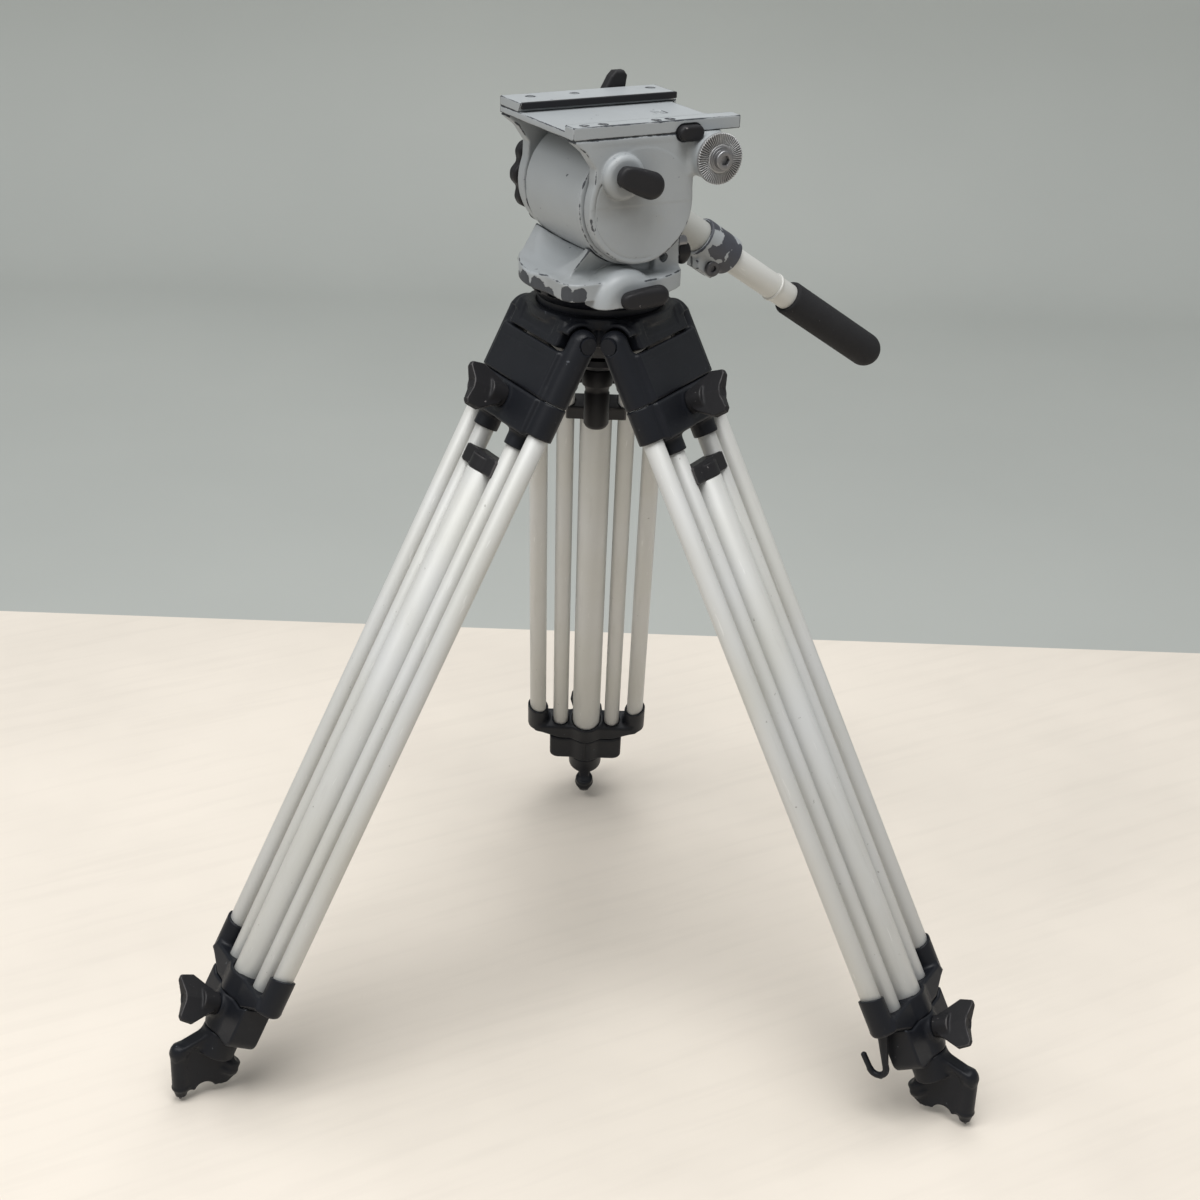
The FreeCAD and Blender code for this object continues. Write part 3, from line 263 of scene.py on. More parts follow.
def turned_about(field, centre, axis, degrees):
    """The same solid turned about an axis."""
    c = np.array(centre, float)
    turn = np.array(Matrix.Rotation(math.radians(degrees), 3, Vector(axis)))
    return lambda p: field((p - c) @ turn + c)


def both_sides(maker):
    """A solid at +w and at -w, made by folding space at w = 0."""
    def field(p):
        q = np.array(p)
        q[..., 0] = np.abs(q[..., 0])
        return maker(q)
    return field


def sample(field, low, cell, count):
    """Field values on a grid; only the blocks that the surface can cross are worked out finely."""
    side = 4
    blocks = [-(-n // side) for n in count]
    centres = [low[i] + cell * (side * np.arange(blocks[i]) + (side - 1) / 2) for i in range(3)]
    middle = np.stack(np.meshgrid(*centres, indexing="ij"), -1).reshape(-1, 3)
    coarse = field(middle)
    near = np.abs(coarse) < cell * side * 1.3
    values = np.repeat(coarse[:, None], side ** 3, 1)
    step = cell * (np.arange(side) - (side - 1) / 2)
    offsets = np.stack(np.meshgrid(step, step, step, indexing="ij"), -1).reshape(-1, 3)
    values[near] = field((middle[near][:, None, :] + offsets).reshape(-1, 3)).reshape(-1, side ** 3)
    values = values.reshape(*blocks, side, side, side).transpose(0, 3, 1, 4, 2, 5)
    return values.reshape(*[b * side for b in blocks])


def skin(field, low, high, cell):
    """The surface of a field in quads: one vertex in each crossed cell, then drawn to the surface."""
    low = np.array(low, float) - 2.5 * cell
    count = [int((high[i] - low[i]) / cell) + 4 for i in range(3)]
    v = sample(field, low, cell, count)
    n = v.shape
    inside = v < 0
    cells = tuple(k - 1 for k in n)
    total, hits = np.zeros(cells + (3,)), np.zeros(cells)
    quads = []
    for axis in range(3):
        a = [slice(None)] * 3
        b = [slice(None)] * 3
        a[axis], b[axis] = slice(0, n[axis] - 1), slice(1, n[axis])
        va, vb = v[tuple(a)], v[tuple(b)]
        crossed = inside[tuple(a)] != inside[tuple(b)]
        where = np.nonzero(crossed)
        t = va[where] / (va[where] - vb[where])
        point = np.stack(where, -1).astype(float)
        point[:, axis] += t
        u, w = [i for i in range(3) if i != axis]
        corner = {}
        for du in (0, 1):
            for dw in (0, 1):
                cell_at = np.stack(where, -1)
                cell_at[:, u] -= du
                cell_at[:, w] -= dw
                ok = (cell_at >= 0).all(1) & (cell_at < np.array(cells)).all(1)
                flat = np.ravel_multi_index(cell_at[ok].T, cells)
                np.add.at(hits.reshape(-1), flat, 1)
                np.add.at(total.reshape(-1, 3), flat, point[ok])
                corner[du, dw] = cell_at
        order = [(1, 1), (0, 1), (0, 0), (1, 0)]
        faces = np.stack([np.ravel_multi_index(np.clip(corner[o], 0, np.array(cells) - 1).T, cells)
                          for o in order], 1)
        flip = inside[tuple(b)][where] ^ (axis == 1)
        faces[flip] = faces[flip][:, ::-1]
        quads.append(faces)
    active = np.nonzero(hits.reshape(-1))[0]
    number = -np.ones(hits.size, int)
    number[active] = np.arange(len(active))
    points = low + cell * total.reshape(-1, 3)[active] / hits.reshape(-1)[active][:, None]
    faces = number[np.concatenate(quads)]
    return settle(field, points, faces, cell), faces


def settle(field, points, faces, cell):
    """Evens the vertices out, then draws them to the surface."""
    ends = np.concatenate([faces[:, [0, 1]], faces[:, [1, 2]], faces[:, [2, 3]], faces[:, [3, 0]]])
    degree = np.bincount(ends.ravel(), minlength=len(points))[:, None]
    for share in (0.6, 0.5, 0.3):
        mean = np.zeros_like(points)
        for i in range(3):
            mean[:, i] = (np.bincount(ends[:, 0], points[ends[:, 1], i], len(points))
                          + np.bincount(ends[:, 1], points[ends[:, 0], i], len(points)))
        points = points + share * (mean / degree - points)
        for _ in range(2):
            value, slope = field(points), gradient(field, points, 0.12 * cell)
            size = np.maximum((slope * slope).sum(-1), 0.2)
            step = np.clip(value / size, -0.5 * cell, 0.5 * cell)
            points = points - step[:, None] * slope
    return points


def gradient(field, points, reach):
    slope = np.empty_like(points)
    for i in range(3):
        step = np.zeros(3)
        step[i] = reach
        slope[:, i] = (field(points + step) - field(points - step)) / (2 * reach)
    return slope


def sharpness(field, points, reach):
    """How much each point stands out: positive on outer edges, negative in inner corners."""
    mean = np.zeros(len(points))
    for i in range(3):
        for sign in (1, -1):
            step = np.zeros(3)
            step[i] = sign * reach
            mean += field(points + step)
    return mean / (6 * reach)


def cast(name, body, field, low, high, cell=1.0, place=ROW):
    """Makes a closed mesh of a field, riding on a body, with its outer edges and inner corners marked for wear
    and for painted corner shade.
    """
    points, faces = skin(field, low, high, cell)
    edge = sharpness(field, points, WEAR_AND_SHADE_REACH)
    return placed_copy(name, body, points, faces, edge, place)


def placed_copy(name, body, points, faces, edge, place):
    return add_piece(name, body, closed_mesh(name, points, faces, edge, place))


def closed_mesh(name, points, faces, edge, place):
    turn = np.array(place)
    mesh = bpy.data.meshes.new(name)
    mesh.vertices.add(len(points))
    mesh.vertices.foreach_set("co", (points @ turn[:3, :3].T + turn[:3, 3]).astype(np.float32).ravel())
    mesh.loops.add(faces.size)
    mesh.loops.foreach_set("vertex_index", faces.astype(np.int32).ravel())
    mesh.polygons.add(len(faces))
    mesh.polygons.foreach_set("loop_start", np.arange(0, faces.size, 4, dtype=np.int32))
    mesh.update(calc_edges=True)
    mesh.validate()
    mark = mesh.attributes.new("edge", "FLOAT", "POINT")
    mark.data.foreach_set("value", edge.astype(np.float32))
    mesh.shade_smooth()
    return mesh


def repeat_tree(name):
    """A node tree that sets a unit on every point, scales it and gives it its material."""
    tree = bpy.data.node_groups.new(name, "GeometryNodeTree")
    for socket, kind in (("Geometry", "Geometry"), ("Unit", "Object"), ("Size", "Float"),
                         ("Finish", "Material")):
        tree.interface.new_socket(socket, in_out="INPUT", socket_type="NodeSocket" + kind)
    tree.interface.new_socket("Geometry", in_out="OUTPUT", socket_type="NodeSocketGeometry")
    given = tree.nodes.new("NodeGroupInput").outputs
    unit = add(tree, "GeometryNodeObjectInfo", {"Object": given["Unit"]}).outputs["Geometry"]
    put = add(tree, "GeometryNodeInstanceOnPoints", {"Points": given["Geometry"], "Instance": unit,
                                                     "Scale": given["Size"]})
    real = add(tree, "GeometryNodeRealizeInstances", {"Geometry": put.outputs["Instances"]})
    coated = add(tree, "GeometryNodeSetMaterial", {"Geometry": real.outputs["Geometry"],
                                                   "Material": given["Finish"]})
    taken = tree.nodes.new("NodeGroupOutput").inputs
    tree.links.new(coated.outputs["Geometry"], taken["Geometry"])
    return tree


def repeated(name, unit_mesh, places, coat):
    """One plain mesh of a small part set on each place by a node tree."""
    tree = repeat_tree(name + "_tree")
    sockets = {item.name: item.identifier for item in tree.interface.items_tree if item.in_out == "INPUT"}
    unit = bpy.data.objects.new(name + "_unit", unit_mesh)
    dots = bpy.data.meshes.new(name + "_places")
    dots.from_pydata(places, [], [])
    carrier = bpy.data.objects.new(name + "_carrier", dots)
    for thing in (unit, carrier):
        bpy.context.scene.collection.objects.link(thing)
    modifier = carrier.modifiers.new("Repeat", "NODES")
    modifier.node_group = tree
    modifier[sockets["Unit"]] = unit
    modifier[sockets["Size"]] = 1.0
    modifier[sockets["Finish"]] = coat
    graph = bpy.context.evaluated_depsgraph_get()
    mesh = bpy.data.meshes.new_from_object(carrier.evaluated_get(graph))
    mesh.name = name
    for thing in (carrier, unit):
        bpy.data.objects.remove(thing)
    if not mesh.vertices:
        raise RuntimeError(f"{name} came out empty")
    return mesh


def add_piece(name, body, mesh):
    piece = bpy.data.objects.new(name, mesh)
    bpy.context.scene.collection.objects.link(piece)
    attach(piece, body)
    return piece


def finish(piece, material, slot, *nodes):
    """Gives a piece its material and hides the CAD nodes that it stands for. Its slot argument is not used."""
    piece.data.materials.clear()
    piece.data.materials.append(material)
    if nodes:
        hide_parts(*nodes)
    return piece


def on_each_leg(name, group, field, low, high, material, slot, cell=1.0, replaces=True, mirrored=()):
    """One leg's cast piece, worked out once and set on all three legs, left for right on some."""
    points, faces = skin(field, low, high, cell)
    edge = sharpness(field, points, WEAR_AND_SHADE_REACH)
    for leg in LEGS:
        here, sides = points, faces
        if leg in mirrored:
            here, sides = points * (-1, 1, 1), faces[:, ::-1]
        piece = placed_copy(f"{leg}_{name}_cast", f"{leg}_{group}", here, sides, edge, leg_frame(leg))
        nodes = (f"{leg}_{name}",) if replaces else ()
        finish(piece, material, slot, *nodes)


# --- Materials -------------------------------------------------------------------------
def add(tree, kind, inputs=(), **settings):
    """Adds a node; an input given as a socket is linked, and any other value is set."""
    node = tree.nodes.new(kind)
    for key, value in settings.items():
        setattr(node, key, value)
    for key, value in dict(inputs).items():
        if isinstance(value, bpy.types.NodeSocket):
            tree.links.new(value, node.inputs[key])
        else:
            node.inputs[key].default_value = value
    return node


def noise(tree, where, scale, detail=3.0, roughness=0.55):
    return add(tree, "ShaderNodeTexNoise", {"Vector": where, "Scale": scale, "Detail": detail,
                                            "Roughness": roughness}).outputs["Fac"]


def ramp(tree, value, low, high):
    """0 below low and 1 above high, smooth between."""
    return add(tree, "ShaderNodeMapRange", {"Value": value, "From Min": low, "From Max": high},
               interpolation_type="SMOOTHSTEP").outputs["Result"]


def maths(tree, operation, a, b=0.0):
    return add(tree, "ShaderNodeMath", {0: a, 1: b}, operation=operation).outputs[0]


def blend(tree, amount, a, b):
    """A colour between two."""
    node = add(tree, "ShaderNodeMix", data_type="RGBA")
    for key, value in (("Factor", amount), ("A", a), ("B", b)):
        if key == "Factor":
            socket = node.inputs[0]
        else:
            socket = node.inputs[6 if key == "A" else 7]
        if isinstance(value, bpy.types.NodeSocket):
            tree.links.new(value, socket)
        else:
            socket.default_value = value if key == "Factor" else (*value, 1.0)
    return node.outputs[2]


def between(tree, amount, a, b):
    """A number between two."""
    return add(tree, "ShaderNodeMapRange", {"Value": amount, "To Min": a, "To Max": b}).outputs[0]


def start(name):
    material = bpy.data.materials.new(name)
    material.use_nodes = True
    tree = material.node_tree
    tree.nodes.clear()
    where = add(tree, "ShaderNodeTexCoord").outputs["Object"]
    return material, tree, where


def end(tree, colour, roughness, height, depth, metallic=0.0, **more):
    """The Principled shader with a bump, and the output."""
    inputs = {"Roughness": roughness, "Metallic": metallic}
    inputs["Base Color"] = colour if isinstance(colour, bpy.types.NodeSocket) else (*colour, 1.0)
    if height is not None:
        bump = add(tree, "ShaderNodeBump", {"Height": height, "Distance": depth, "Strength": 1.0})
        inputs["Normal"] = bump.outputs["Normal"]
    inputs.update(more)
    shader = add(tree, "ShaderNodeBsdfPrincipled", inputs)
    output = add(tree, "ShaderNodeOutputMaterial", {"Surface": shader.outputs["BSDF"]})
    return shader, output


def wear_group():
    """The shared node group that says where a coating has gone from the edges."""
    group = bpy.data.node_groups.get("Edge wear")
    if group:
        return group
    group = bpy.data.node_groups.new("Edge wear", "ShaderNodeTree")
    group.interface.new_socket("Vector", in_out="INPUT", socket_type="NodeSocketVector")
    for name in ("Low", "High", "Spread"):
        group.interface.new_socket(name, in_out="INPUT", socket_type="NodeSocketFloat")
    for name in ("Worn", "Edge"):
        group.interface.new_socket(name, in_out="OUTPUT", socket_type="NodeSocketFloat")
    given = group.nodes.new("NodeGroupInput").outputs
    edge = add(group, "ShaderNodeAttribute", attribute_name="edge").outputs["Fac"]
    patchy = maths(group, "SUBTRACT", noise(group, given["Vector"], 95.0, 4.0, 0.65), 0.5)
    broad = maths(group, "SUBTRACT", noise(group, given["Vector"], 21.0, 2.0), 0.5)
    total = maths(group, "ADD", edge, maths(group, "MULTIPLY", patchy, given["Spread"]))
    total = maths(group, "ADD", total, maths(group, "MULTIPLY", broad, given["Spread"]))
    taken = group.nodes.new("NodeGroupOutput").inputs
    group.links.new(ramp(group, total, given["Low"], given["High"]), taken["Worn"])
    group.links.new(edge, taken["Edge"])
    return group


def edge_wear(tree, where, low, high):
    """Where the coating has gone: the mesh's own edge mark, broken up by noise."""
    inputs = {"Vector": where, "Low": low, "High": high, "Spread": WEAR_SPREAD}
    outputs = add(tree, "ShaderNodeGroup", inputs, node_tree=wear_group()).outputs
    return outputs["Worn"], outputs["Edge"]


def painted(name, colour, bare, wear=(0.13, 0.165), patches=(), dark_spots=()):
    """Grey enamel on a casting: fine orange peel, painted shade in its inner corners, soft dark spots at given
    places (most of them painted shade under parts), and chips down to dark metal.

    patches are (place in mm, radius in mm) where the paint has worn right through.
    """
    material, tree, where = start(name)
    cloud = noise(tree, where, 14.0, 4.0)
    colour_now = blend(tree, ramp(tree, cloud, 0.35, 0.7), [0.93 * c for c in colour], colour)
    grime = ramp(tree, noise(tree, where, 46.0, 5.0, 0.7), 0.56, 0.78)
    colour_now = blend(tree, maths(tree, "MULTIPLY", grime, 0.22), colour_now, (0.3, 0.29, 0.26))
    chips, edge = edge_wear(tree, where, *wear)
    # Painted shade: the enamel is darker in inner corners and hollows, where the edge mark is negative
    corner_shade = ramp(tree, maths(tree, "MULTIPLY", edge, -1.0), 0.05, 0.3)
    colour_now = blend(tree, maths(tree, "MULTIPLY", corner_shade, 0.7), colour_now, (0.12, 0.12, 0.115))
    specks = ramp(tree, noise(tree, where, 190.0, 2.0), 0.735, 0.755)
    chips = maths(tree, "MAXIMUM", chips, maths(tree, "MULTIPLY", specks, 0.85))
    for place, reach, ragged in patches:
        away = add(tree, "ShaderNodeVectorMath", {0: where, 1: [c * MM for c in place]},
                   operation="DISTANCE").outputs["Value"]
        wobble = maths(tree, "MULTIPLY", maths(tree, "SUBTRACT", noise(tree, where, 85.0, 4.0, 0.6), 0.5),
                       ragged * MM)
        away = maths(tree, "ADD", away, wobble)
        worn = ramp(tree, maths(tree, "MULTIPLY", away, -1.0), -reach * MM - 0.0006, -reach * MM)
        chips = maths(tree, "MAXIMUM", chips, worn)
    # Dark spots are (place in mm, reach in mm, tint, strength): soft darkenings, most of them painted shade
    # under parts such as the tilt lever and the release button
    for place, reach, tint, strength in dark_spots:
        away = add(tree, "ShaderNodeVectorMath", {0: where, 1: [c * MM for c in place]},
                   operation="DISTANCE").outputs["Value"]
        soft = ramp(tree, maths(tree, "MULTIPLY", away, -1.0), -reach * MM, -0.3 * reach * MM)
        spot_darkening = maths(tree, "MULTIPLY", soft, between(tree, noise(tree, where, 60.0, 4.0), 0.3, 1.0))
        colour_now = blend(tree, maths(tree, "MULTIPLY", spot_darkening, strength), colour_now, tint)
    metal = blend(tree, noise(tree, where, 70.0, 4.0), bare, [1.9 * c for c in bare])
    colour_now = blend(tree, chips, colour_now, metal)
    roughness = between(tree, noise(tree, where, 32.0, 4.0), 0.3, 0.5)
    roughness = maths(tree, "ADD", roughness, maths(tree, "MULTIPLY", chips, 0.14))
    peel = maths(tree, "MULTIPLY", noise(tree, where, 620.0, 2.0), 0.25)
    height = maths(tree, "SUBTRACT", peel, chips)
    end(tree, colour_now, roughness, height, 0.00022)
    return material


def black_metal(name, colour, nick, rough=(0.34, 0.5), grain=0.00012, wear=(0.22, 0.3)):
    """Satin black cast alloy with a fine sand grain and paler rubbed edges."""
    material, tree, where = start(name)
    cloud = noise(tree, where, 24.0, 4.0)
    colour_now = blend(tree, cloud, [0.75 * c for c in colour], [1.3 * c for c in colour])
    dust = ramp(tree, noise(tree, where, 75.0, 5.0, 0.7), 0.6, 0.8)
    colour_now = blend(tree, maths(tree, "MULTIPLY", dust, 0.3), colour_now, nick)
    rubbed, edge = edge_wear(tree, where, *wear)
    colour_now = blend(tree, maths(tree, "MULTIPLY", rubbed, 0.75), colour_now, nick)
    specks = ramp(tree, noise(tree, where, 260.0, 2.0), 0.745, 0.765)
    colour_now = blend(tree, maths(tree, "MULTIPLY", specks, 0.6), colour_now, [3 * c for c in nick])
    roughness = between(tree, noise(tree, where, 40.0, 5.0), *rough)
    height = maths(tree, "SUBTRACT", noise(tree, where, 900.0, 3.0), maths(tree, "MULTIPLY", rubbed, 0.4))
    end(tree, colour_now, roughness, height, grain, **{"Specular IOR Level": DULL})
    return material


def tube_finish(name, colour):
    """Pale satin tube with faint drawing lines, rubbed streaks and small scratches along it."""
    material, tree, where = start(name)
    along = add(tree, "ShaderNodeAttribute", attribute_name="along").outputs["Fac"]
    turn = add(tree, "ShaderNodeAttribute", attribute_name="turn").outputs["Vector"]
    place = add(tree, "ShaderNodeSeparateXYZ", {0: turn})
    drawn = add(tree, "ShaderNodeCombineXYZ", {0: place.outputs[0], 1: place.outputs[1],
                                               2: maths(tree, "MULTIPLY", along, 0.02)}).outputs[0]
    rubbed = add(tree, "ShaderNodeCombineXYZ", {0: place.outputs[0], 1: place.outputs[1],
                                                2: maths(tree, "MULTIPLY", along, 0.12)}).outputs[0]
    lines = noise(tree, drawn, 900.0, 3.0)
    streak = noise(tree, rubbed, 110.0, 4.0, 0.6)
    broad = noise(tree, where, 7.0, 3.0)
    colour_now = blend(tree, ramp(tree, broad, 0.3, 0.7), colour, (colour[0] * 0.95, colour[1] * 0.94,
                                                                  colour[2] * 0.9))
    colour_now = blend(tree, maths(tree, "MULTIPLY", ramp(tree, streak, 0.55, 0.75), 0.16), colour_now,
                       (0.33, 0.32, 0.29))
    scratch = ramp(tree, noise(tree, rubbed, 340.0, 2.0), 0.7, 0.74)
    colour_now = blend(tree, maths(tree, "MULTIPLY", scratch, 0.3), colour_now, (0.78, 0.78, 0.76))
    spots = ramp(tree, noise(tree, where, 210.0, 2.0), 0.74, 0.765)
    colour_now = blend(tree, maths(tree, "MULTIPLY", spots, 0.5), colour_now, (0.14, 0.13, 0.11))
    roughness = between(tree, streak, 0.36, 0.56)
    end(tree, colour_now, roughness, lines, 0.00002, 0.12)
    return material


def foam(name):
    material, tree, where = start(name)
    pores = add(tree, "ShaderNodeTexVoronoi", {"Vector": where, "Scale": 1400.0}).outputs["Distance"]
    cloud = noise(tree, where, 45.0, 4.0)
    colour = blend(tree, cloud, (0.011, 0.011, 0.012), (0.024, 0.024, 0.026))
    lint = ramp(tree, noise(tree, where, 330.0, 2.0), 0.73, 0.76)
    colour = blend(tree, maths(tree, "MULTIPLY", lint, 0.4), colour, (0.14, 0.14, 0.14))
    height = maths(tree, "ADD", pores, maths(tree, "MULTIPLY", noise(tree, where, 260.0, 3.0), 0.6))
    end(tree, colour, between(tree, cloud, 0.66, 0.85), height, 0.0003, **{"Specular IOR Level": DULL})
    return material


def metal(name, colour, rough, streaks=500.0, dirt=0.4):
    material, tree, where = start(name)
    fine = noise(tree, where, streaks, 3.0)
    soil = ramp(tree, noise(tree, where, 130.0, 4.0, 0.7), 0.5, 0.75)
    colour_now = blend(tree, maths(tree, "MULTIPLY", soil, dirt), colour, [0.3 * c for c in colour])
    edge = add(tree, "ShaderNodeAttribute", attribute_name="edge").outputs["Fac"]
    # Painted shade: the metal is darker in inner corners and hollows, such as between teeth, where the edge
    # mark is negative
    corner_shade = ramp(tree, maths(tree, "MULTIPLY", edge, -1.0), 0.03, 0.25)
    colour_now = blend(tree, maths(tree, "MULTIPLY", corner_shade, 0.8), colour_now, [0.15 * c for c in colour])
    end(tree, colour_now, between(tree, fine, rough - 0.07, rough + 0.1), fine, 0.00004, 0.85)
    return material


def vial(name):
    material, tree, where = start(name)
    swirl = noise(tree, where, 160.0, 3.0)
    colour = blend(tree, swirl, (0.42, 0.55, 0.05), (0.62, 0.72, 0.16))
    end(tree, colour, 0.08, swirl, 0.00003, **{"Coat Weight": 0.6})
    return material


def card(name):
    """Plain warm card underfoot, with faint flutes and soft stains."""
    material, tree, where = start(name)
    place = add(tree, "ShaderNodeSeparateXYZ", {0: where})
    flat = add(tree, "ShaderNodeCombineXYZ", {0: place.outputs[0],
                                              1: maths(tree, "MULTIPLY", place.outputs[1], 0.08)}).outputs[0]
    flutes = noise(tree, flat, 60.0, 3.0)
    card_colour = tuple(settings().card)
    stains = noise(tree, where, 2.6, 4.0, 0.55)
    colour = blend(tree, ramp(tree, stains, 0.3, 0.75), card_colour, [0.9 * c for c in card_colour])
    colour = blend(tree, maths(tree, "MULTIPLY", ramp(tree, flutes, 0.45, 0.7), 0.08), colour,
                   [0.6 * c for c in card_colour])
    end(tree, colour, between(tree, flutes, 0.75, 0.9), flutes, 0.0004)
    return material


DULL = 0.22
WEAR_SPREAD = 0.35
BARE = (0.028, 0.031, 0.036)
NICK = (0.034, 0.037, 0.042)
MATERIALS = {}


def material(name):
    return MATERIALS[name]


# --- Leg pieces, in the leg frame: w across, n outwards, s down -------------------------
def top_casting():
    w, r, end_s = OUTER_W, COLLAR_R, TOP[1][2]
    web = CAST_FACE - 8.0
    shell = both_sides(join(
        6.0,
        join(0.01, ball((w, 0, 0), r), rod((w, 0, 0), (w, 0, end_s), r, edge=0.7)),
        block((-w, web, 13.5), (w - 4, CAST_FACE, end_s), 2.2),
        block((-w, -9.0, end_s - 8.0), (w - 4, web + 2, end_s), 1.0)))
    cap = w + r - 3.3
    tools = both_sides(join(
        0.01, rod((cap, 0, 0), (cap + 9, 0, 0), 6.8, edge=0.4),
        rod((w, 0, 18), (w, 0, end_s + 3), OUTER_R + 0.1)))
    scribe = block((-34, CAST_FACE - 0.35, 20.5), (34, CAST_FACE + 2, 21.3), 0.2)
    return cut(0.5, shell, tools, scribe)


def mid_yoke():
    w, r = OUTER_W, COLLAR_R
    low, high = MIDDLE[0][2], MIDDLE[1][2]
    web_end = high - 13.0
    shell = both_sides(join(
        4.5,
        rod((w, 0, low), (w, 0, low + 28.0), r, edge=0.8),
        block((-w, -9.0, low), (w - 4, CAST_FACE, web_end), 2.4),
        rod((INNER_W, 0, low + 12), (INNER_W, 0, high), INNER_R + 2.5, edge=0.9)))
    boss = rod((0, 0, UPPER_KNOB_S), (0, CAST_FACE + 0.1, UPPER_KNOB_S), 12.0, edge=1.0)
    tools = both_sides(join(
        0.01, rod((w, 0, low - 3), (w, 0, low + 34), OUTER_R + 0.35),
        rod((INNER_W, 0, high - 8), (INNER_W, 0, high + 3), INNER_R + 0.1)))
    arch = rod((0, -20, high + 2.0), (0, 30, high + 2.0), 15.5)
    return cut(0.6, join(2.0, shell, boss), tools, arch)


def outer_yoke():
    w, low, high = OUTER_W, YOKE[0][2], YOKE[1][2]
    shelf, cup_end, web_top = w * 0.55, high - 10.0, high - 20.0
    outline_ws = [(-w, web_top), (w - 2, web_top), (w + 2, cup_end - 2), (shelf, high), (-shelf, high)]
    shell = both_sides(join(
        4.0,
        rod((w, 0, low - 8), (w, 0, cup_end), CUP_R, edge=3.4),
        plate(outline_ws, 1, -(CENTRE_R - 1.5), CENTRE_R - 1.5, 2.4),
        rod((0, 0, web_top), (0, 0, high), CENTRE_R + 3.5, edge=1.2)))
    mouth = both_sides(half_space((w, 0, low + 3.2), (0.30, 0, 1.0)))
    tools = both_sides(join(
        0.01, rod((w, 0, low - 12), (w, 0, cup_end - 2.3), OUTER_R + 0.1),
        rod((INNER_W, 0, web_top - 4), (INNER_W, 0, high + 4), INNER_R + 0.3),
        rod((0, 0, web_top - 4), (0, 0, high + 4), CENTRE_R + 0.6)))
    return cut(0.6, cut(0.8, shell, mouth), tools)


def mid_clamp():
    low, high = CLAMP[0][2], CLAMP[1][2]
    half_w, half_n = CLAMP[1][0], CENTRE_R - 1.0
    curve, shelf = 9.0, OUTER_W * 0.55
    drop = 5.1
    shape = [(-half_w, low - drop), (-shelf, low), (shelf, low), (half_w, low - drop), (half_w, high - curve)]
    shape += [(half_w - curve + curve * math.cos(a), high - curve + curve * math.sin(a))
              for a in np.linspace(0.2, math.pi / 2, 6)]
    shape += [(-x, z) for x, z in reversed(shape[4:])]
    body = join(
        3.0,
        plate(shape, 1, -half_n, half_n, 2.0),
        rod((0, 0, low), (0, 0, high), CENTRE_R + 3.5, edge=1.5),
        rod((0, 0, LOWER_KNOB_S), (0, CENTRE_R + 3.5, LOWER_KNOB_S), 11.0, edge=1.0))
    tools = both_sides(join(
        0.01, rod((0, 0, low - 3), (0, 0, high + 3), CENTRE_R + 0.3),
        rod((INNER_W, 0, low - 8), (INNER_W, 0, low + 23.8), INNER_R + 0.1)))
    split = block((-0.6, -30, low - 2), (0.6, -CENTRE_R - 2.2, high + 2))
    return cut(0.6, body, tools, split)


def guide_block():
    low = GUIDE[0][2]
    shell = join(
        1.5,
        block((-INNER_W, -9.0, low), (INNER_W, 9.0, low + 15.0), 1.6),
        rod((0, 0, low + 3), (0, 0, low + 15), CENTRE_R, edge=1.0))
    groove = both_sides(rod((INNER_W, 0, low - 4), (INNER_W, 0, low + 20), INNER_R + 0.3))
    return cut(0.7, shell, groove)


def spike_point(height):
    """A point a height straight above the spike's tip, in the leg frame."""
    tip_n, tip_s = 8.0, FOOT[1][2]
    return (0.0, tip_n + height * math.sin(SPREAD), tip_s - height * math.cos(SPREAD))


def foot():
    top = FOOT[0][2]
    end_s = top + 22.0
    post_top, post_low = spike_point(50.0), spike_point(13.0)
    web = [(-14, end_s - 8), (12, end_s - 10), (post_top[1] - 2, post_top[2] - 1),
           (post_low[1] - 1, post_low[2] - 1), (post_low[1] - 6, end_s + 37), (-2, end_s + 36),
           (-13, end_s + 29), (-23, end_s + 24), (-27.5, end_s + 15), (-22, end_s + 5)]
    flange = [(4, top + 7), (15, top + 4), (post_top[1] + 3, post_top[2] - 3),
              (post_top[1] + 1, post_top[2] + 7), (20.5, end_s - 3.5), (12, end_s - 6)]
    inner = -19.0
    body = join(
        3.2,
        rod((0, 0, top), (0, 0, end_s), 17.0, edge=2.0),
        plate(web, 0, -4.6, 4.6, 1.4),
        plate(flange, 0, -7.0, 7.0, 2.6),
        rod(post_low, post_top, 7.0, edge=2.5),
        ball(post_top, 7.0),
        rod(spike_point(5.6), spike_point(14.0), 4.6, 7.0, 0.6),
        rod((0, inner, end_s + 4), (0, inner, end_s + 15), 9.0, edge=2.0),
        rod((0, inner, end_s + 12), (0, inner, end_s + 28), 8.6, 2.2, 0.6))
    arch = rod((-20, -6.6, end_s + 35.6), (20, -6.6, end_s + 35.6), 9.2)
    bore = rod((0, 0, top - 3), (0, 0, top + 16.5), CENTRE_R + 0.1)
    hole = rod(spike_point(-2), spike_point(20), 3.6)
    return cut(1.0, body, arch, bore, hole)


def spike():
    return join(0.3, rod(spike_point(5.6), spike_point(19.5), 3.5, edge=0.2),
                rod(spike_point(0.0), spike_point(5.8), 0.8, 3.5, 0.1))


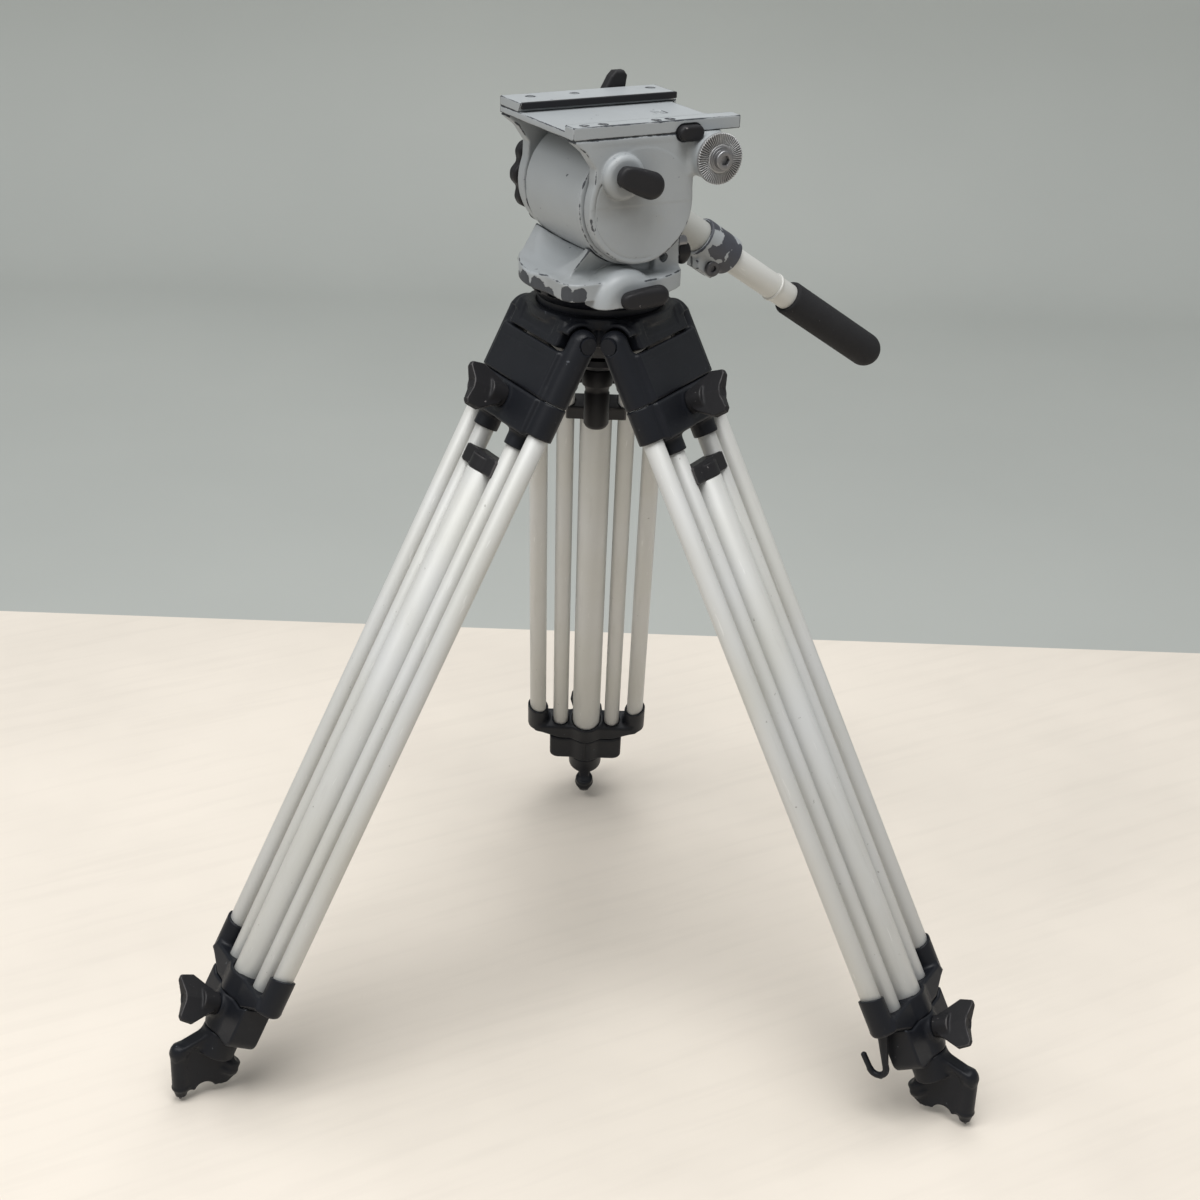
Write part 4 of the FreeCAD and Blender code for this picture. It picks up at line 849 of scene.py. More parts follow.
def wing_knob(face, s, wing, turn, blade=13.0):
    """A clamp knob on an axis along n: a hub and a wedge-shaped pair of faceted wings."""
    root, reach = face + 0.3, 34.0
    top, half, hub = root + reach, wing / 2, 9.5
    shape = [(-hub, root + 5), (hub, root + 5), (hub + 2.5, root + 9), (half, top - 12),
             (half - 1.5, top - 1.2), (half - 5, top), (4, top - 3.5), (-4, top - 3.5), (-half + 5, top), (-half + 1.5, top - 1.2),
             (-half, top - 12), (-hub - 2.5, root + 9)]
    wings = plate(shape, 2, s - half, s + half, 1.0)
    facet = both_sides(both(
        0.6,
        half_space((0, 0, s + blade * 0.62), (0.16, 0.06, 1)),
        half_space((0, 0, s - blade * 0.62), (0.16, 0.06, -1)),
        half_space((half * 0.55, top - 4, s + blade * 0.5), (0.42, 0.5, 1)),
        half_space((half * 0.55, top - 4, s - blade * 0.5), (0.42, 0.5, -1))))
    body = join(2.0, both(0.6, wings, facet), rod((0, root, s), (0, root + 15, s), hub, edge=1.2))
    scoop = both_sides(join(
        0.5, ball((half * 0.62, root + 19, s + 13.5), 8.6), ball((half * 0.62, root + 19, s - 13.5), 8.6)))
    body = cut(1.2, body, scoop, rod((0, top - 4.2, s), (0, top + 2, s), 3.6))
    return turned_about(body, (0, 0, s), (0, 1, 0), turn)


def knob_stud(start_n, face, s):
    return rod((0, start_n, s), (0, face + 3, s), 3.0, edge=0.2)


def hook():
    shank_end = (-45.0, -14.0, YOKE[1][2] + 22.0)
    centre = (-45.0, shank_end[1] - 7.5, shank_end[2])
    back = (-45.0, centre[1] - 7.5, centre[2])
    bend = both(0.3, ring(centre, (1, 0, 0), 7.5, 2.8), half_space(centre, (0, 0, -1)))
    return join(
        0.8, rod((-45.0, -3.0, YOKE[1][2] - 13.0), shank_end, 5.0, 2.6, 0.5), bend,
        bar(back, (-45.0, back[1] - 0.6, back[2] - 12.5), 2.5),
        bar((-45.0, centre[1], centre[2] + 7.5), (-45.0, centre[1] - 0.5, centre[2] + 9.0), 2.0))


# --- Crown and head pieces, in the row frame -------------------------------------------
BASE_Z = HOUSING[0][2] + 6.0
LIP_TOP = BASE_Z + 14.0
RING_TOP = RING[1][2]
TZ = TILT.z
DECK = PLATFORM[1][2]
SEAM_Z = PLATFORM[0][2]
CHANNEL_Z = RAIL[0][2] - 0.05
LEVEL = Vector((span("spirit_level")[0] + span("spirit_level")[1]) / 2)
FRONT_Y, REAR_Y = PLATFORM[0][1], PLATFORM[1][1]
CHEEK_IN = CHEEK[0][0]
RAIL_IN = RAIL[1][0]


def on_leg(field, leg):
    """A field drawn in a leg's frame, used in the row frame."""
    back = np.array((leg_frame(leg).inverted() @ ROW))
    return lambda p: field(p @ back[:3, :3].T + back[:3, 3])


def crown():
    arm_w = OUTER_W - COLLAR_R - 0.75
    shape = [(CAST_FACE, 11.5), (3.0, 11.5), (-7.5, 8.5), (-14.0, -4.0), (-6.0, -15.0), (4.0, -16.5),
             (12.0, -12.5), (CAST_FACE + 1.0, -9.0), (CAST_FACE, 0.0)]
    arm = plate(shape, 0, -arm_w, arm_w, 2.6)
    hood = both_sides(both(
        0.8, rod((arm_w - 6, 0, 0), (arm_w + 8.0, 0, 0), 15.2, edge=1.6),
        half_space((0, 0, 1.0), (0, 0.15, 1))))
    bay = both_sides(rod((arm_w + 0.2, 0, 0), (arm_w + 20, 0, 0), COLLAR_R + 1.2))
    panel = block((-26, CAST_FACE - 0.6, -8.5), (26, CAST_FACE + 3, 6.5), 2.0)
    limb = cut(0.7, join(3.0, arm, hood), bay, panel)
    seat = BASE_Z - 15.8
    shell = both(1.0, ball((0, 0, seat), 54.3), half_space((0, 0, RING_TOP), (0, 0, 1)),
                 half_space((0, 0, seat - 39.5), (0, 0, -1)))
    round_parts = join(
        2.0, rod((0, 0, RING_TOP - 8), (0, 0, RING_TOP), 57.0, edge=1.2),
        rod((0, 0, RING_TOP - 23), (0, 0, RING_TOP - 1), 54.3, edge=1.5), shell)
    body = join(4.0, round_parts, *[on_leg(limb, leg) for leg in LEGS])
    roof = block((-90, -90, RING_TOP), (90, 90, RING_TOP + 40))
    return cut(0.6, body, ball((0, 0, seat), 50.3), roof)


def plinth():
    """The dark ring under the head, with notches round its upper edge."""
    low, high = PLINTH[0][2], PLINTH[1][2]
    body = turned([(0, low), (49.5, low), (56.4, low + 7.5), (56.9, high), (0, high)])
    count = 20

    def notches(p):
        turn = np.arctan2(p[..., 1], p[..., 0])
        step = 2 * math.pi / count
        turn = (turn + step / 2) % step - step / 2
        out = np.hypot(p[..., 0], p[..., 1])
        q = np.stack([out * np.cos(turn), out * np.sin(turn), p[..., 2]], -1)
        return block((53.4, -4.2, low + 7.0), (60, 4.2, high - 2.2), 0.5)(q)
    return cut(0.5, body, notches)


def rounded_plan(x0, y0, x1, y1, corner):
    points = []
    for cx, cy, first in ((x1 - corner, y1 - corner, 0), (x0 + corner, y1 - corner, 90),
                          (x0 + corner, y0 + corner, 180), (x1 - corner, y0 + corner, 270)):
        for k in range(6):
            a = math.radians(first + 18 * k)
            points.append((cx + corner * math.cos(a), cy + corner * math.sin(a)))
    return points


def pan_housing():
    half, rear = 44.0, HOUSING[1][1]
    base = join(
        1.0, rod((0, 0, BASE_Z), (0, 0, LIP_TOP), 65.0, edge=1.5),
        plate(rounded_plan(-22, -61, 58, 12, 14), 2, BASE_Z, LIP_TOP, 1.5))
    side = [(-52, LIP_TOP - 4), (-49, LIP_TOP + 1), (-35, LIP_TOP + 24), (40, LIP_TOP + 26),
            (rear, LIP_TOP + 25), (rear, LIP_TOP - 4)]
    flare = [(-42, LIP_TOP - 5), (36, LIP_TOP - 5), (38, LIP_TOP + 5), (half, LIP_TOP + 21),
             (half, LIP_TOP + 30), (-half, LIP_TOP + 30), (-half, LIP_TOP + 8)]
    saddle = both(1.2, plate(side, 0, -half, half, 1.5), plate(flare, 1, -80, 80, 1.5))
    block_end = block((-half, 22, BASE_Z), (half, rear, LIP_TOP + 25), 2.0)
    y, low = PAN_DRAG.y, BASE_Z - 6
    boss = both(1.0, rod((10, y, low), (PAN_DRAG.x + 0.2, y, low), 28.0, edge=11.0),
                half_space((0, 0, low), (0, 0, -1)))
    body = join(5.0, base, join(1.5, saddle, block_end))
    body = join(1.6, body, boss)
    apron = ball((0, -64, TZ - 1), 57.0)
    tools = [rod((-80, 0, TZ), (80, 0, TZ), DRUM_R + 0.3),
             rod((CHEEK_IN - 1.2, 0, TZ), (90, 0, TZ), 46.2, edge=0.5),
             rod((half - 9, rear - 15, LIP_TOP + 10), (half + 4, rear - 15, LIP_TOP + 10), 3.1),
             rod((LEVEL.x, LEVEL.y, LIP_TOP - 5), (LEVEL.x, LEVEL.y, LIP_TOP + 5), 8.1),
             rod((0, 0, BASE_Z - 30), (0, 0, BASE_Z), 58.0), half_space((0, rear, 0), (0, -1, 0))]
    return cut(0.9, cut(3.0, body, apron), *tools)


def tilt_drum():
    body = join(0.5, rod((-40, 0, TZ), (CHEEK_IN - 0.5, 0, TZ), DRUM_R, edge=1.6),
                rod((-CHEEK_IN + 0.5, 0, TZ), (-38, 0, TZ), 40.0, edge=1.0))
    line = ring((CHEEK_IN - 5.0, 0, TZ), (1, 0, 0), DRUM_R + 0.1, 0.45)
    return cut(0.3, body, line)


def yoke():
    """Both cheeks with the web under the platform: the casting that tilts."""
    deck = SEAM_Z - 0.15
    edge_y = FRONT_Y + 0.5

    def cheek(low_x, high_x):
        disc = rod((low_x, 0, TZ), (high_x, 0, TZ), 45.0, edge=2.0)
        side = [(44.5, TZ), (44.5, deck), (edge_y, deck), (edge_y, deck - 1.2), (-50, deck - 9.5),
                (-41, deck - 22), (-41.5, TZ + 14), (-44.5, TZ)]
        return join(1.0, disc, plate(side, 0, low_x, high_x, 1.6))

    x, y, z = ROSETTE_SPAN[1][0], ROSETTE.y, ROSETTE.z
    neck = [(40, deck), (40, z - 13), (y - 4, z - 15), (y + 13, z - 6), (y + 14, z + 8), (y + 9, deck)]
    near = join(
        4.0, cheek(CHEEK_IN, HEAD_X), plate(neck, 0, CHEEK_IN, HEAD_X, 2.0),
        rod((HEAD_X - 6, y, z), (HEAD_X + 12.0, y, z), 17.5, edge=1.0))
    boss_z, boss_y = TILT_DRAG.z, TILT_DRAG.y
    boss = rod((HEAD_X - 6, boss_y, boss_z - 1), (HEAD_X + 7.8, boss_y, boss_z - 1), 17.4, edge=5.0)
    near = join(1.6, near, boss)
    far = join(
        4.0, cheek(-HEAD_X, -CHEEK_IN), plate(neck, 0, -HEAD_X, -CHEEK_IN, 2.0),
        rod((-HEAD_X - 12.0, y, z), (-HEAD_X + 6, y, z), 17.5, edge=1.0),
        rod((-HEAD_X - 6.0, 0, TZ), (-HEAD_X + 4, 0, TZ), 38.0, edge=1.0))
    web = block((-HEAD_X + 2, -44, DRUM_R + TZ + 0.7), (HEAD_X - 2, 44.5, deck), 0.8)
    body = join(4.0, near, far, web)
    groove = both(0.2, ring((HEAD_X + 0.1, 0, TZ), (1, 0, 0), 40.6, 0.55),
                  half_space((0, -12, TZ), (0, 1, 0.55)))
    slot = stadium(HEAD_X - 8, HEAD_X + 9, BUTTON_Y, SEAM_Z, 11.0, 6.3)
    bolt = rod((HEAD_X - 12, y, z), (HEAD_X + 20, y, z), 4.1)
    far_bolt = rod((-HEAD_X - 20, y, z), (-HEAD_X + 12, y, z), 4.1)
    drum = rod((-CHEEK_IN, 0, TZ), (CHEEK_IN, 0, TZ), DRUM_R + 0.4)
    gap = half_space((0, 0, deck), (0, 0, -1))
    return cut(0.4, body, groove, slot, bolt, far_bolt, drum, gap)


BUTTON_SPAN = span("release_button")
BUTTON_Y = (BUTTON_SPAN[0][1] + BUTTON_SPAN[1][1]) / 2


def stadium(x0, x1, y, z, half, radius, edge=0.0):
    """A flat-sided oval bar along X."""
    run = half - radius

    def field(p):
        q = np.array(p)
        q[..., 1] = q[..., 1] - y
        q[..., 1] -= np.clip(q[..., 1], -run, run)
        return rod((x0, 0, z), (x1, 0, z), radius, edge=edge)(q)
    return field


def platform():
    half, low = HEAD_X, SEAM_Z
    shape = [(-half, FRONT_Y), (half, FRONT_Y), (half, REAR_Y), (half - 24, REAR_Y),
             (half - 36, REAR_Y - 10), (-half + 36, REAR_Y - 10), (-half + 24, REAR_Y), (-half, REAR_Y)]
    body = plate(shape, 2, low, DECK, 0.7)
    channel = block((-half - 4, FRONT_Y - 4, CHANNEL_Z), (half - 13.0, REAR_Y + 4, DECK + 3), 0.4)
    slot = stadium(half - 8, half + 9, BUTTON_Y, SEAM_Z, 11.0, 6.3)
    holes = [rod((x, y, DECK - 2.3), (x, y, DECK + 4), 3.4) for x, y in screw_places()]
    gate = block((2, 38, CHANNEL_Z - 1.6), (14, 47, DECK + 1), 1.0)
    return cut(0.35, body, channel, slot, gate, *holes)


def screw_places():
    x, front, rear = HEAD_X - 5.5, FRONT_Y + 12, 24.5
    return [(side * x, y) for side in (1, -1) for y in (front, front + 16, rear - 12, rear)]


def rail():
    low, high = CHANNEL_Z, RAIL[1][2]
    shape = [(-HEAD_X, low), (RAIL_IN - 3, low), (RAIL_IN - 3, low + 1.6), (RAIL_IN, high - 1.8),
             (RAIL_IN, high), (-HEAD_X, high)]
    body = plate(shape, 1, RAIL[0][1], RAIL[1][1], 0.4)
    holes = [rod((RAIL_IN - 22, y, high - 2.0), (RAIL_IN - 22, y, high + 3), 3.4) for y in RAIL_SCREWS]
    return cut(0.3, body, *holes)


RAIL_SCREWS = (RAIL[0][1] + 20, RAIL[0][1] + 59, RAIL[1][1] - 11)


def rail_strip():
    """A black strip along the rail's inner side, round at its front end: painted shade for the rail's undercut.
    """
    front, top = RAIL[0][1], RAIL[1][2]
    return block((RAIL_IN - 2.0, front + 1.0, top - 4.9), (RAIL_IN + 1.2, RAIL[1][1], top + 0.15), 0.7)


def drag_lever(x, y, z, turn, half):
    """A pebble-shaped lever knob on a short stud, its hub slimmer than its tail."""
    pebble = stadium(x + 0.4, x + 13.0, y + 8.6, z, 20.2, half, 6.0)
    slim = [half_space((0, y - 11, z + side * 0.68 * half), (0, -0.17, side)) for side in (1, -1)]
    crest = half_space((x + 11.4, y - 8, z), (1, -0.09, 0))
    stud = rod((x - 3, y, z), (x + 3, y, z), 5.5, edge=0.4)
    return turned_about(join(0.3, both(2.0, pebble, crest, *slim), stud), (x, y, z), (1, 0, 0), turn)


def wheel():
    start_x = -(HEAD_X + 6.3)
    lobes, deep, outer = 12, 4.0, 44.0

    def field(p):
        turn = np.arctan2(p[..., 2] - TZ, p[..., 1])
        out = np.hypot(p[..., 1], p[..., 2] - TZ)
        r = outer - deep * np.abs(np.sin(turn * lobes / 2)) ** 3
        x = (out - r) * 0.85 + 3.0
        y = np.abs(p[..., 0] - (start_x - 5.5)) - 5.5 + 3.0
        return np.hypot(np.maximum(x, 0), np.maximum(y, 0)) + np.minimum(np.maximum(x, y), 0) - 3.0
    dish = rod((start_x - 8, 0, TZ), (start_x - 14, 0, TZ), 24.0, edge=1.5)
    return cut(1.5, field, dish)


def plate_lever():
    place = JOINTS["plate_lock_turn"]["pos_m"]
    y, z = place[1] / MM, place[2] / MM
    face = -HEAD_X - 0.5
    blade = [(y - 7, z - 5), (y + 5, z - 6), (y + 10, z + 6), (y + 12.5, z + 22), (y + 9.5, z + 26),
             (y + 1, z + 26), (y - 3, z + 22), (y - 12, z + 6)]
    return join(2.0, rod((face, y, z), (face - 11, y, z), 7.5, edge=1.5),
                plate(blade, 0, face - 11, face - 1.5, 2.6))


def rosette(side):
    """A disc with radial teeth on its outer face."""
    y, z = ROSETTE.y, ROSETTE.z
    inner_x, face = HEAD_X + 12.1, ROSETTE_FACE
    teeth = 60

    def field(p):
        q = np.array(p)
        q[..., 0] = q[..., 0] * side
        out = np.hypot(q[..., 1] - y, q[..., 2] - z)
        turn = np.arctan2(q[..., 2] - z, q[..., 1] - y)
        ridge = 1.5 * (0.5 - 0.5 * np.cos(turn * teeth)) * (out > 10.5)
        disc = rod((inner_x, y, z), (face, y, z), 19.5, edge=0.5)(q)
        return np.maximum(np.maximum(disc, (q[..., 0] - face + ridge) * 0.6), 4.05 - out)
    return field


ROSETTE_FACE = HEAD_X + 16.0


def hexagon(cy, cz, size):
    return [(cy + size * math.cos(math.radians(60 * k)), cz + size * math.sin(math.radians(60 * k)))
            for k in range(6)]


def rosette_bolt():
    y, z = ROSETTE.y, ROSETTE.z
    face = ROSETTE_FACE
    head = join(
        0.3, rod((face + 0.1, y, z), (face + 1.5, y, z), 9.6, edge=0.4),
        rod((face + 1, y, z), (face + 6.0, y, z), 7.4, edge=1.2), rod((face - 12, y, z), (face + 1, y, z), 4.0))
    return cut(0.3, head, plate(hexagon(y, z, 4.0), 0, face + 2.6, face + 9))


def button():
    return stadium(BUTTON_SPAN[0][0] + 0.5, BUTTON_SPAN[1][0], BUTTON_Y, SEAM_Z, 10.9, 5.9, 2.6)


def brake(part):
    place = JOINTS["pan_lock_turn"]["pos_m"]
    x, y, z = [c / MM for c in place]
    if part == "stem":
        return rod((x, y + 0.2, z + 4), (x, y + 11, z + 4), 4.6, edge=1.0)
    return join(2.0, bar((x, y + 8.5, z - 1.5), (x, y + 8.5, z - 9.0), 5.4),
                rod((x, y + 2.8, z - 4.0), (x, y + 13.6, z - 4.0), 6.6, edge=1.5))


# --- Pan bar ---------------------------------------------------------------------------
ELBOW = (ROSETTE.x, 95.0, TZ - 38.0)
SOCKET_END = 97.0
GRIP_START = 180.0
GRIP_LENGTH = 124.0


def on_bar(distance, off=0.0, x=ROSETTE.x):
    """A point along the pan bar from its elbow, off its axis in the YZ plane."""
    return (x, ELBOW[1] + distance * BAR.y - off * BAR.z, ELBOW[2] + distance * BAR.z + off * BAR.y)


def pan_arm():
    x, y, z = ROSETTE
    face = -(ROSETTE_FACE + 0.1)
    body = join(
        7.0, rod((face, y, z), (x - 8, y, z), 19.5, edge=2.0),
        rod((x, y, z), ELBOW, 12.5, 13.5, 1.0), ball(ELBOW, 14.0),
        rod(ELBOW, on_bar(SOCKET_END), 14.0, edge=0.6))
    gap = half_space((face, 0, 0), (-1, 0, 0))
    return cut(0.5, body, gap, rod(on_bar(8), on_bar(SOCKET_END + 4), 11.85))


def pan_clamp():
    start_d, end_d, x = SOCKET_END - 34.0, SOCKET_END + 4.0, ROSETTE.x
    middle = (start_d + end_d) / 2

    def ears(p):
        y, z = p[..., 1] - ELBOW[1], p[..., 2] - ELBOW[2]
        q = np.stack([p[..., 0], y * BAR.y + z * BAR.z, -y * BAR.z + z * BAR.y], -1)
        shape = [(middle - 13, -8), (middle + 12, -8), (middle + 12.5, -19), (middle + 9, -25),
                 (middle - 9, -25), (middle - 13.5, -19)]
        return plate(shape, 0, x - 9.0, x + 9.0, 2.2)(q)

    body = join(3.0, rod(on_bar(start_d), on_bar(end_d), 17.4, edge=1.6), ears)
    split = block((x - 0.9, -400, 0), (x + 0.9, 400, 900))
    low = both(0.01, split, rod(on_bar(middle, -30, x - 40), on_bar(middle, -30, x + 40), 26))
    return cut(0.6, body, rod(on_bar(start_d - 3), on_bar(SOCKET_END + 1), 14.1),
               rod(on_bar(start_d), on_bar(end_d + 3), 11.9), low)


def pinch_bolt():
    x = ROSETTE.x
    a = on_bar(SOCKET_END - 12.0, -17.5)
    head = join(0.4, rod((x + 9.1, a[1], a[2]), (x + 13.2, a[1], a[2]), 7.0, edge=1.0),
                rod((x - 11, a[1], a[2]), (x + 10, a[1], a[2]), 3.0, edge=0.3),
                rod((x - 12.4, a[1], a[2]), (x - 9.1, a[1], a[2]), 6.0, edge=0.6))
    return cut(0.3, head, plate(hexagon(a[1], a[2], 3.0), 0, x + 11.0, x + 18))


# --- Tubes and turned pieces -----------------------------------------------------------
def lathe(runs, place, sides=72):
    """Closed turned bodies in one mesh: each run is (start, direction, [(distance, radius), ...]) in mm.

    Each keeps its distance along and its place round the axis, for streaks that follow it.
    """
    points, faces, along, turn = [], [], [], []
    for start_at, direction, profile in runs:
        u = Vector(direction).normalized()
        a = u.orthogonal().normalized()
        b = u.cross(a)
        first = len(points)
        for distance, radius in profile:
            for k in range(sides):
                t = 2 * math.pi * k / sides
                out = a * math.cos(t) + b * math.sin(t)
                points.append(Vector(start_at) + u * distance + out * radius)
                along.append(distance * MM)
                turn.append(out * radius * MM)
        for i in range(len(profile) - 1):
            for k in range(sides):
                low, nxt = first + i * sides, (k + 1) % sides
                faces.append((low + k, low + nxt, low + sides + nxt, low + sides + k))
        faces.append(tuple(first + k for k in reversed(range(sides))))
        faces.append(tuple(first + (len(profile) - 1) * sides + k for k in range(sides)))
    mesh = bpy.data.meshes.new("turned")
    mesh.from_pydata([place @ p for p in points], [], faces)
    mesh.attributes.new("along", "FLOAT", "POINT").data.foreach_set("value", along)
    mesh.attributes.new("turn", "FLOAT_VECTOR", "POINT").data.foreach_set(
        "vector", np.array(turn, np.float32).ravel())
    mesh.attributes.new("edge", "FLOAT", "POINT").data.foreach_set("value", [0.0] * len(points))
    mesh.shade_smooth()
    for face in mesh.polygons:
        if len(face.vertices) > 4:
            face.use_smooth = False
    return mesh


def tube_profile(length, radius, lip=0.5):
    """A tube's outside, with its end edges broken."""
    return [(0, radius - lip), (lip, radius), (length - lip, radius), (length, radius - lip)]


def leg_tubes():
    for leg in LEGS:
        place = leg_frame(leg)
        down = (0, 0, 1)
        outer = [((w, 0, OUTER[0][2]), down, tube_profile(OUTER[1][2] - OUTER[0][2], OUTER_R))
                 for w in (OUTER_W, -OUTER_W)]
        inner = [((w, 0, INNER[0][2]), down, tube_profile(INNER[1][2] - INNER[0][2], INNER_R))
                 for w in (INNER_W, -INNER_W)]
        centre = [((0, 0, CENTRE[0][2]), down, tube_profile(CENTRE[1][2] - CENTRE[0][2], CENTRE_R))]
        for name, group, runs in (("outer_tubes", "upper", outer), ("inner_tubes", "middle", inner),
                                  ("centre_tube", "lower", centre)):
            mesh = lathe(runs, place)
            mesh.name = f"{leg}_{name}_drawn"
            piece = add_piece(mesh.name, f"{leg}_{group}", mesh)
            finish(piece, material("tube"), "tube_anodised", f"{leg}_{name}")


# --- Operators -------------------------------------------------------------------------
def colour_property(name, description, default):
    return bpy.props.FloatVectorProperty(
        name=name, description=description, subtype="COLOR", size=3, min=0.0, max=1.0, default=default)


class TripodSettings(bpy.types.PropertyGroup):
    """What a user would change: colours, mesh fineness, lens and light"""
    paint: colour_property("Paint", "Colour of the head's grey enamel", (0.325, 0.345, 0.355))
    tube: colour_property("Tube", "Colour of the drawn tubes", (0.57, 0.575, 0.565))
    black: colour_property("Black", "Colour of the black castings", (0.0075, 0.0085, 0.0115))
    card: colour_property("Card", "Colour of the floor", (0.76, 0.695, 0.61))
    cell: bpy.props.FloatProperty(
        name="Cell", description="Size of the cells that cast surfaces are drawn with, in millimetres",
        default=1.0, min=0.5, max=3.0)
    fine_cell: bpy.props.FloatProperty(
        name="Fine cell", description="Size of the cells for small parts, in millimetres",
        default=0.55, min=0.25, max=2.0)
    lens: bpy.props.FloatProperty(
        name="Lens", description="Focal length of the camera", unit="CAMERA", default=61.2, min=10.0)
    light: bpy.props.FloatProperty(
        name="Light", description="Power of the main overhead light", unit="POWER", default=116.0, min=0.0)


def settings():
    return bpy.context.scene.tripod_settings


def boxed(spans, grow=1.0):
    """The box round some spans, in mm."""
    low = np.min([s[0] for s in spans], 0) - grow
    high = np.max([s[1] for s in spans], 0) + grow
    return low, high


class TRIPOD_OT_materials(bpy.types.Operator):
    """Makes the paint, tube, casting, plastic, foam and metal finishes"""
    bl_idname = "tripod.materials"
    bl_label = "Make the finishes"

    def execute(self, context):
        lip, colour = (40.0, -60.0, BASE_Z + 6), tuple(settings().paint)
        MATERIALS["paint"] = painted("Head paint", colour, BARE)
        MATERIALS["base_paint"] = painted(
            "Base paint", colour, BARE,
            patches=[((-24, -62, BASE_Z - 2), 9.0, 14.0), ((-6, -62, BASE_Z + 1), 11.0, 16.0),
                     ((12, -62, BASE_Z - 3), 12.0, 16.0), ((28, -62, BASE_Z - 6), 11.0, 12.0),
                     ((54, -62, BASE_Z + 6), 8.0, 9.0), ((59, -52, BASE_Z + 5), 7.0, 8.0),
                     ((-42, -54, BASE_Z + 1), 5.0, 10.0)],
            # Dark spots: a soft darker spot on the front of the lip, and painted shadow of the near cheek on
            # the saddle's side
            dark_spots=[(lip, 30.0, (0.2, 0.2, 0.19), 0.35),
                   ((40, -30, LIP_TOP + 8), 22.0, (0.16, 0.17, 0.16), 0.5)])
        MATERIALS["yoke_paint"] = painted(
            "Yoke paint", colour, BARE,
            dark_spots=[((HEAD_X, -28, TZ + 8), 24.0, (0.16, 0.16, 0.145), 0.6),
                   # Dark spots: painted shade on the near cheek under the tilt lever's boss, and painted shade
                   # under the release button
                   ((HEAD_X, -10, TZ + 4), 15.0, (0.15, 0.15, 0.14), 0.5),
                   ((HEAD_X, BUTTON_Y - 1, SEAM_Z - 13), 11.0, (0.14, 0.14, 0.13), 0.6)])
        MATERIALS["arm_paint"] = painted("Arm paint", (0.42, 0.425, 0.40), BARE, wear=(0.2, 0.25))
        MATERIALS["clamp_paint"] = painted(
            "Clamp paint", colour, (0.03, 0.032, 0.04),
            patches=[(on_bar(84, 12, ROSETTE.x + 14), 11.0, 22.0), (on_bar(97, 4, ROSETTE.x + 16), 10.0, 20.0),
                     (on_bar(78, -4, ROSETTE.x + 17), 8.0, 18.0), (on_bar(66, 14, ROSETTE.x + 9), 6.0, 12.0),
                     (on_bar(94, -14, ROSETTE.x + 9), 8.0, 16.0)])
        MATERIALS["tube"] = tube_finish("Drawn tube", tuple(settings().tube))
        MATERIALS["casting"] = black_metal("Black casting", tuple(settings().black), NICK)
        MATERIALS["plastic"] = black_metal("Black nylon", (0.0135, 0.0132, 0.0145), (0.075, 0.07, 0.07),
                                           (0.4, 0.56), 0.00008, (0.16, 0.26))
        # A black strip that paints the shade in the rail's undercut
        MATERIALS["strip"] = black_metal("Black strip", (0.012, 0.012, 0.014), (0.05, 0.05, 0.05),
                                         (0.3, 0.45), 0.00004, (0.3, 0.4))
        MATERIALS["foam"] = foam("Foam grip")
        MATERIALS["steel"] = metal("Plated steel", (0.24, 0.24, 0.245), 0.36)
        MATERIALS["dark_steel"] = metal("Dark steel", (0.09, 0.09, 0.095), 0.42)
        MATERIALS["rosette"] = metal("Cast rosette", (0.40, 0.40, 0.40), 0.5, dirt=0.5)
        MATERIALS["vial"] = vial("Level vial")
        return {"FINISHED"}


class TRIPOD_OT_leg_castings(bpy.types.Operator):
    """Builds the castings, clamps and feet of the three legs"""
    bl_idname = "tripod.leg_castings"
    bl_label = "Build the leg castings"

    def execute(self, context):
        cell, casting = settings().cell, material("casting")
        for name, group, field, box in (
                ("top_casting", "upper", top_casting(), TOP), ("outer_yoke", "upper", outer_yoke(), YOKE),
                ("mid_yoke", "middle", mid_yoke(), MIDDLE),
                ("mid_clamp", "middle", mid_clamp(), (CLAMP[0] - 5, CLAMP[1]))):
            on_each_leg(name, group, field, *boxed([box], 2.0), casting, "black_casting", cell)
        on_each_leg("foot", "lower", foot(), *boxed([FOOT], 2.0), casting, "black_casting", 0.9)
        low = np.array(spike_point(20)) - 6
        high = np.array(spike_point(0)) + 6
        on_each_leg("spike", "lower", spike(), np.minimum(low, high), np.maximum(low, high),
                    material("dark_steel"), "steel", 0.5, replaces=False)
        return {"FINISHED"}


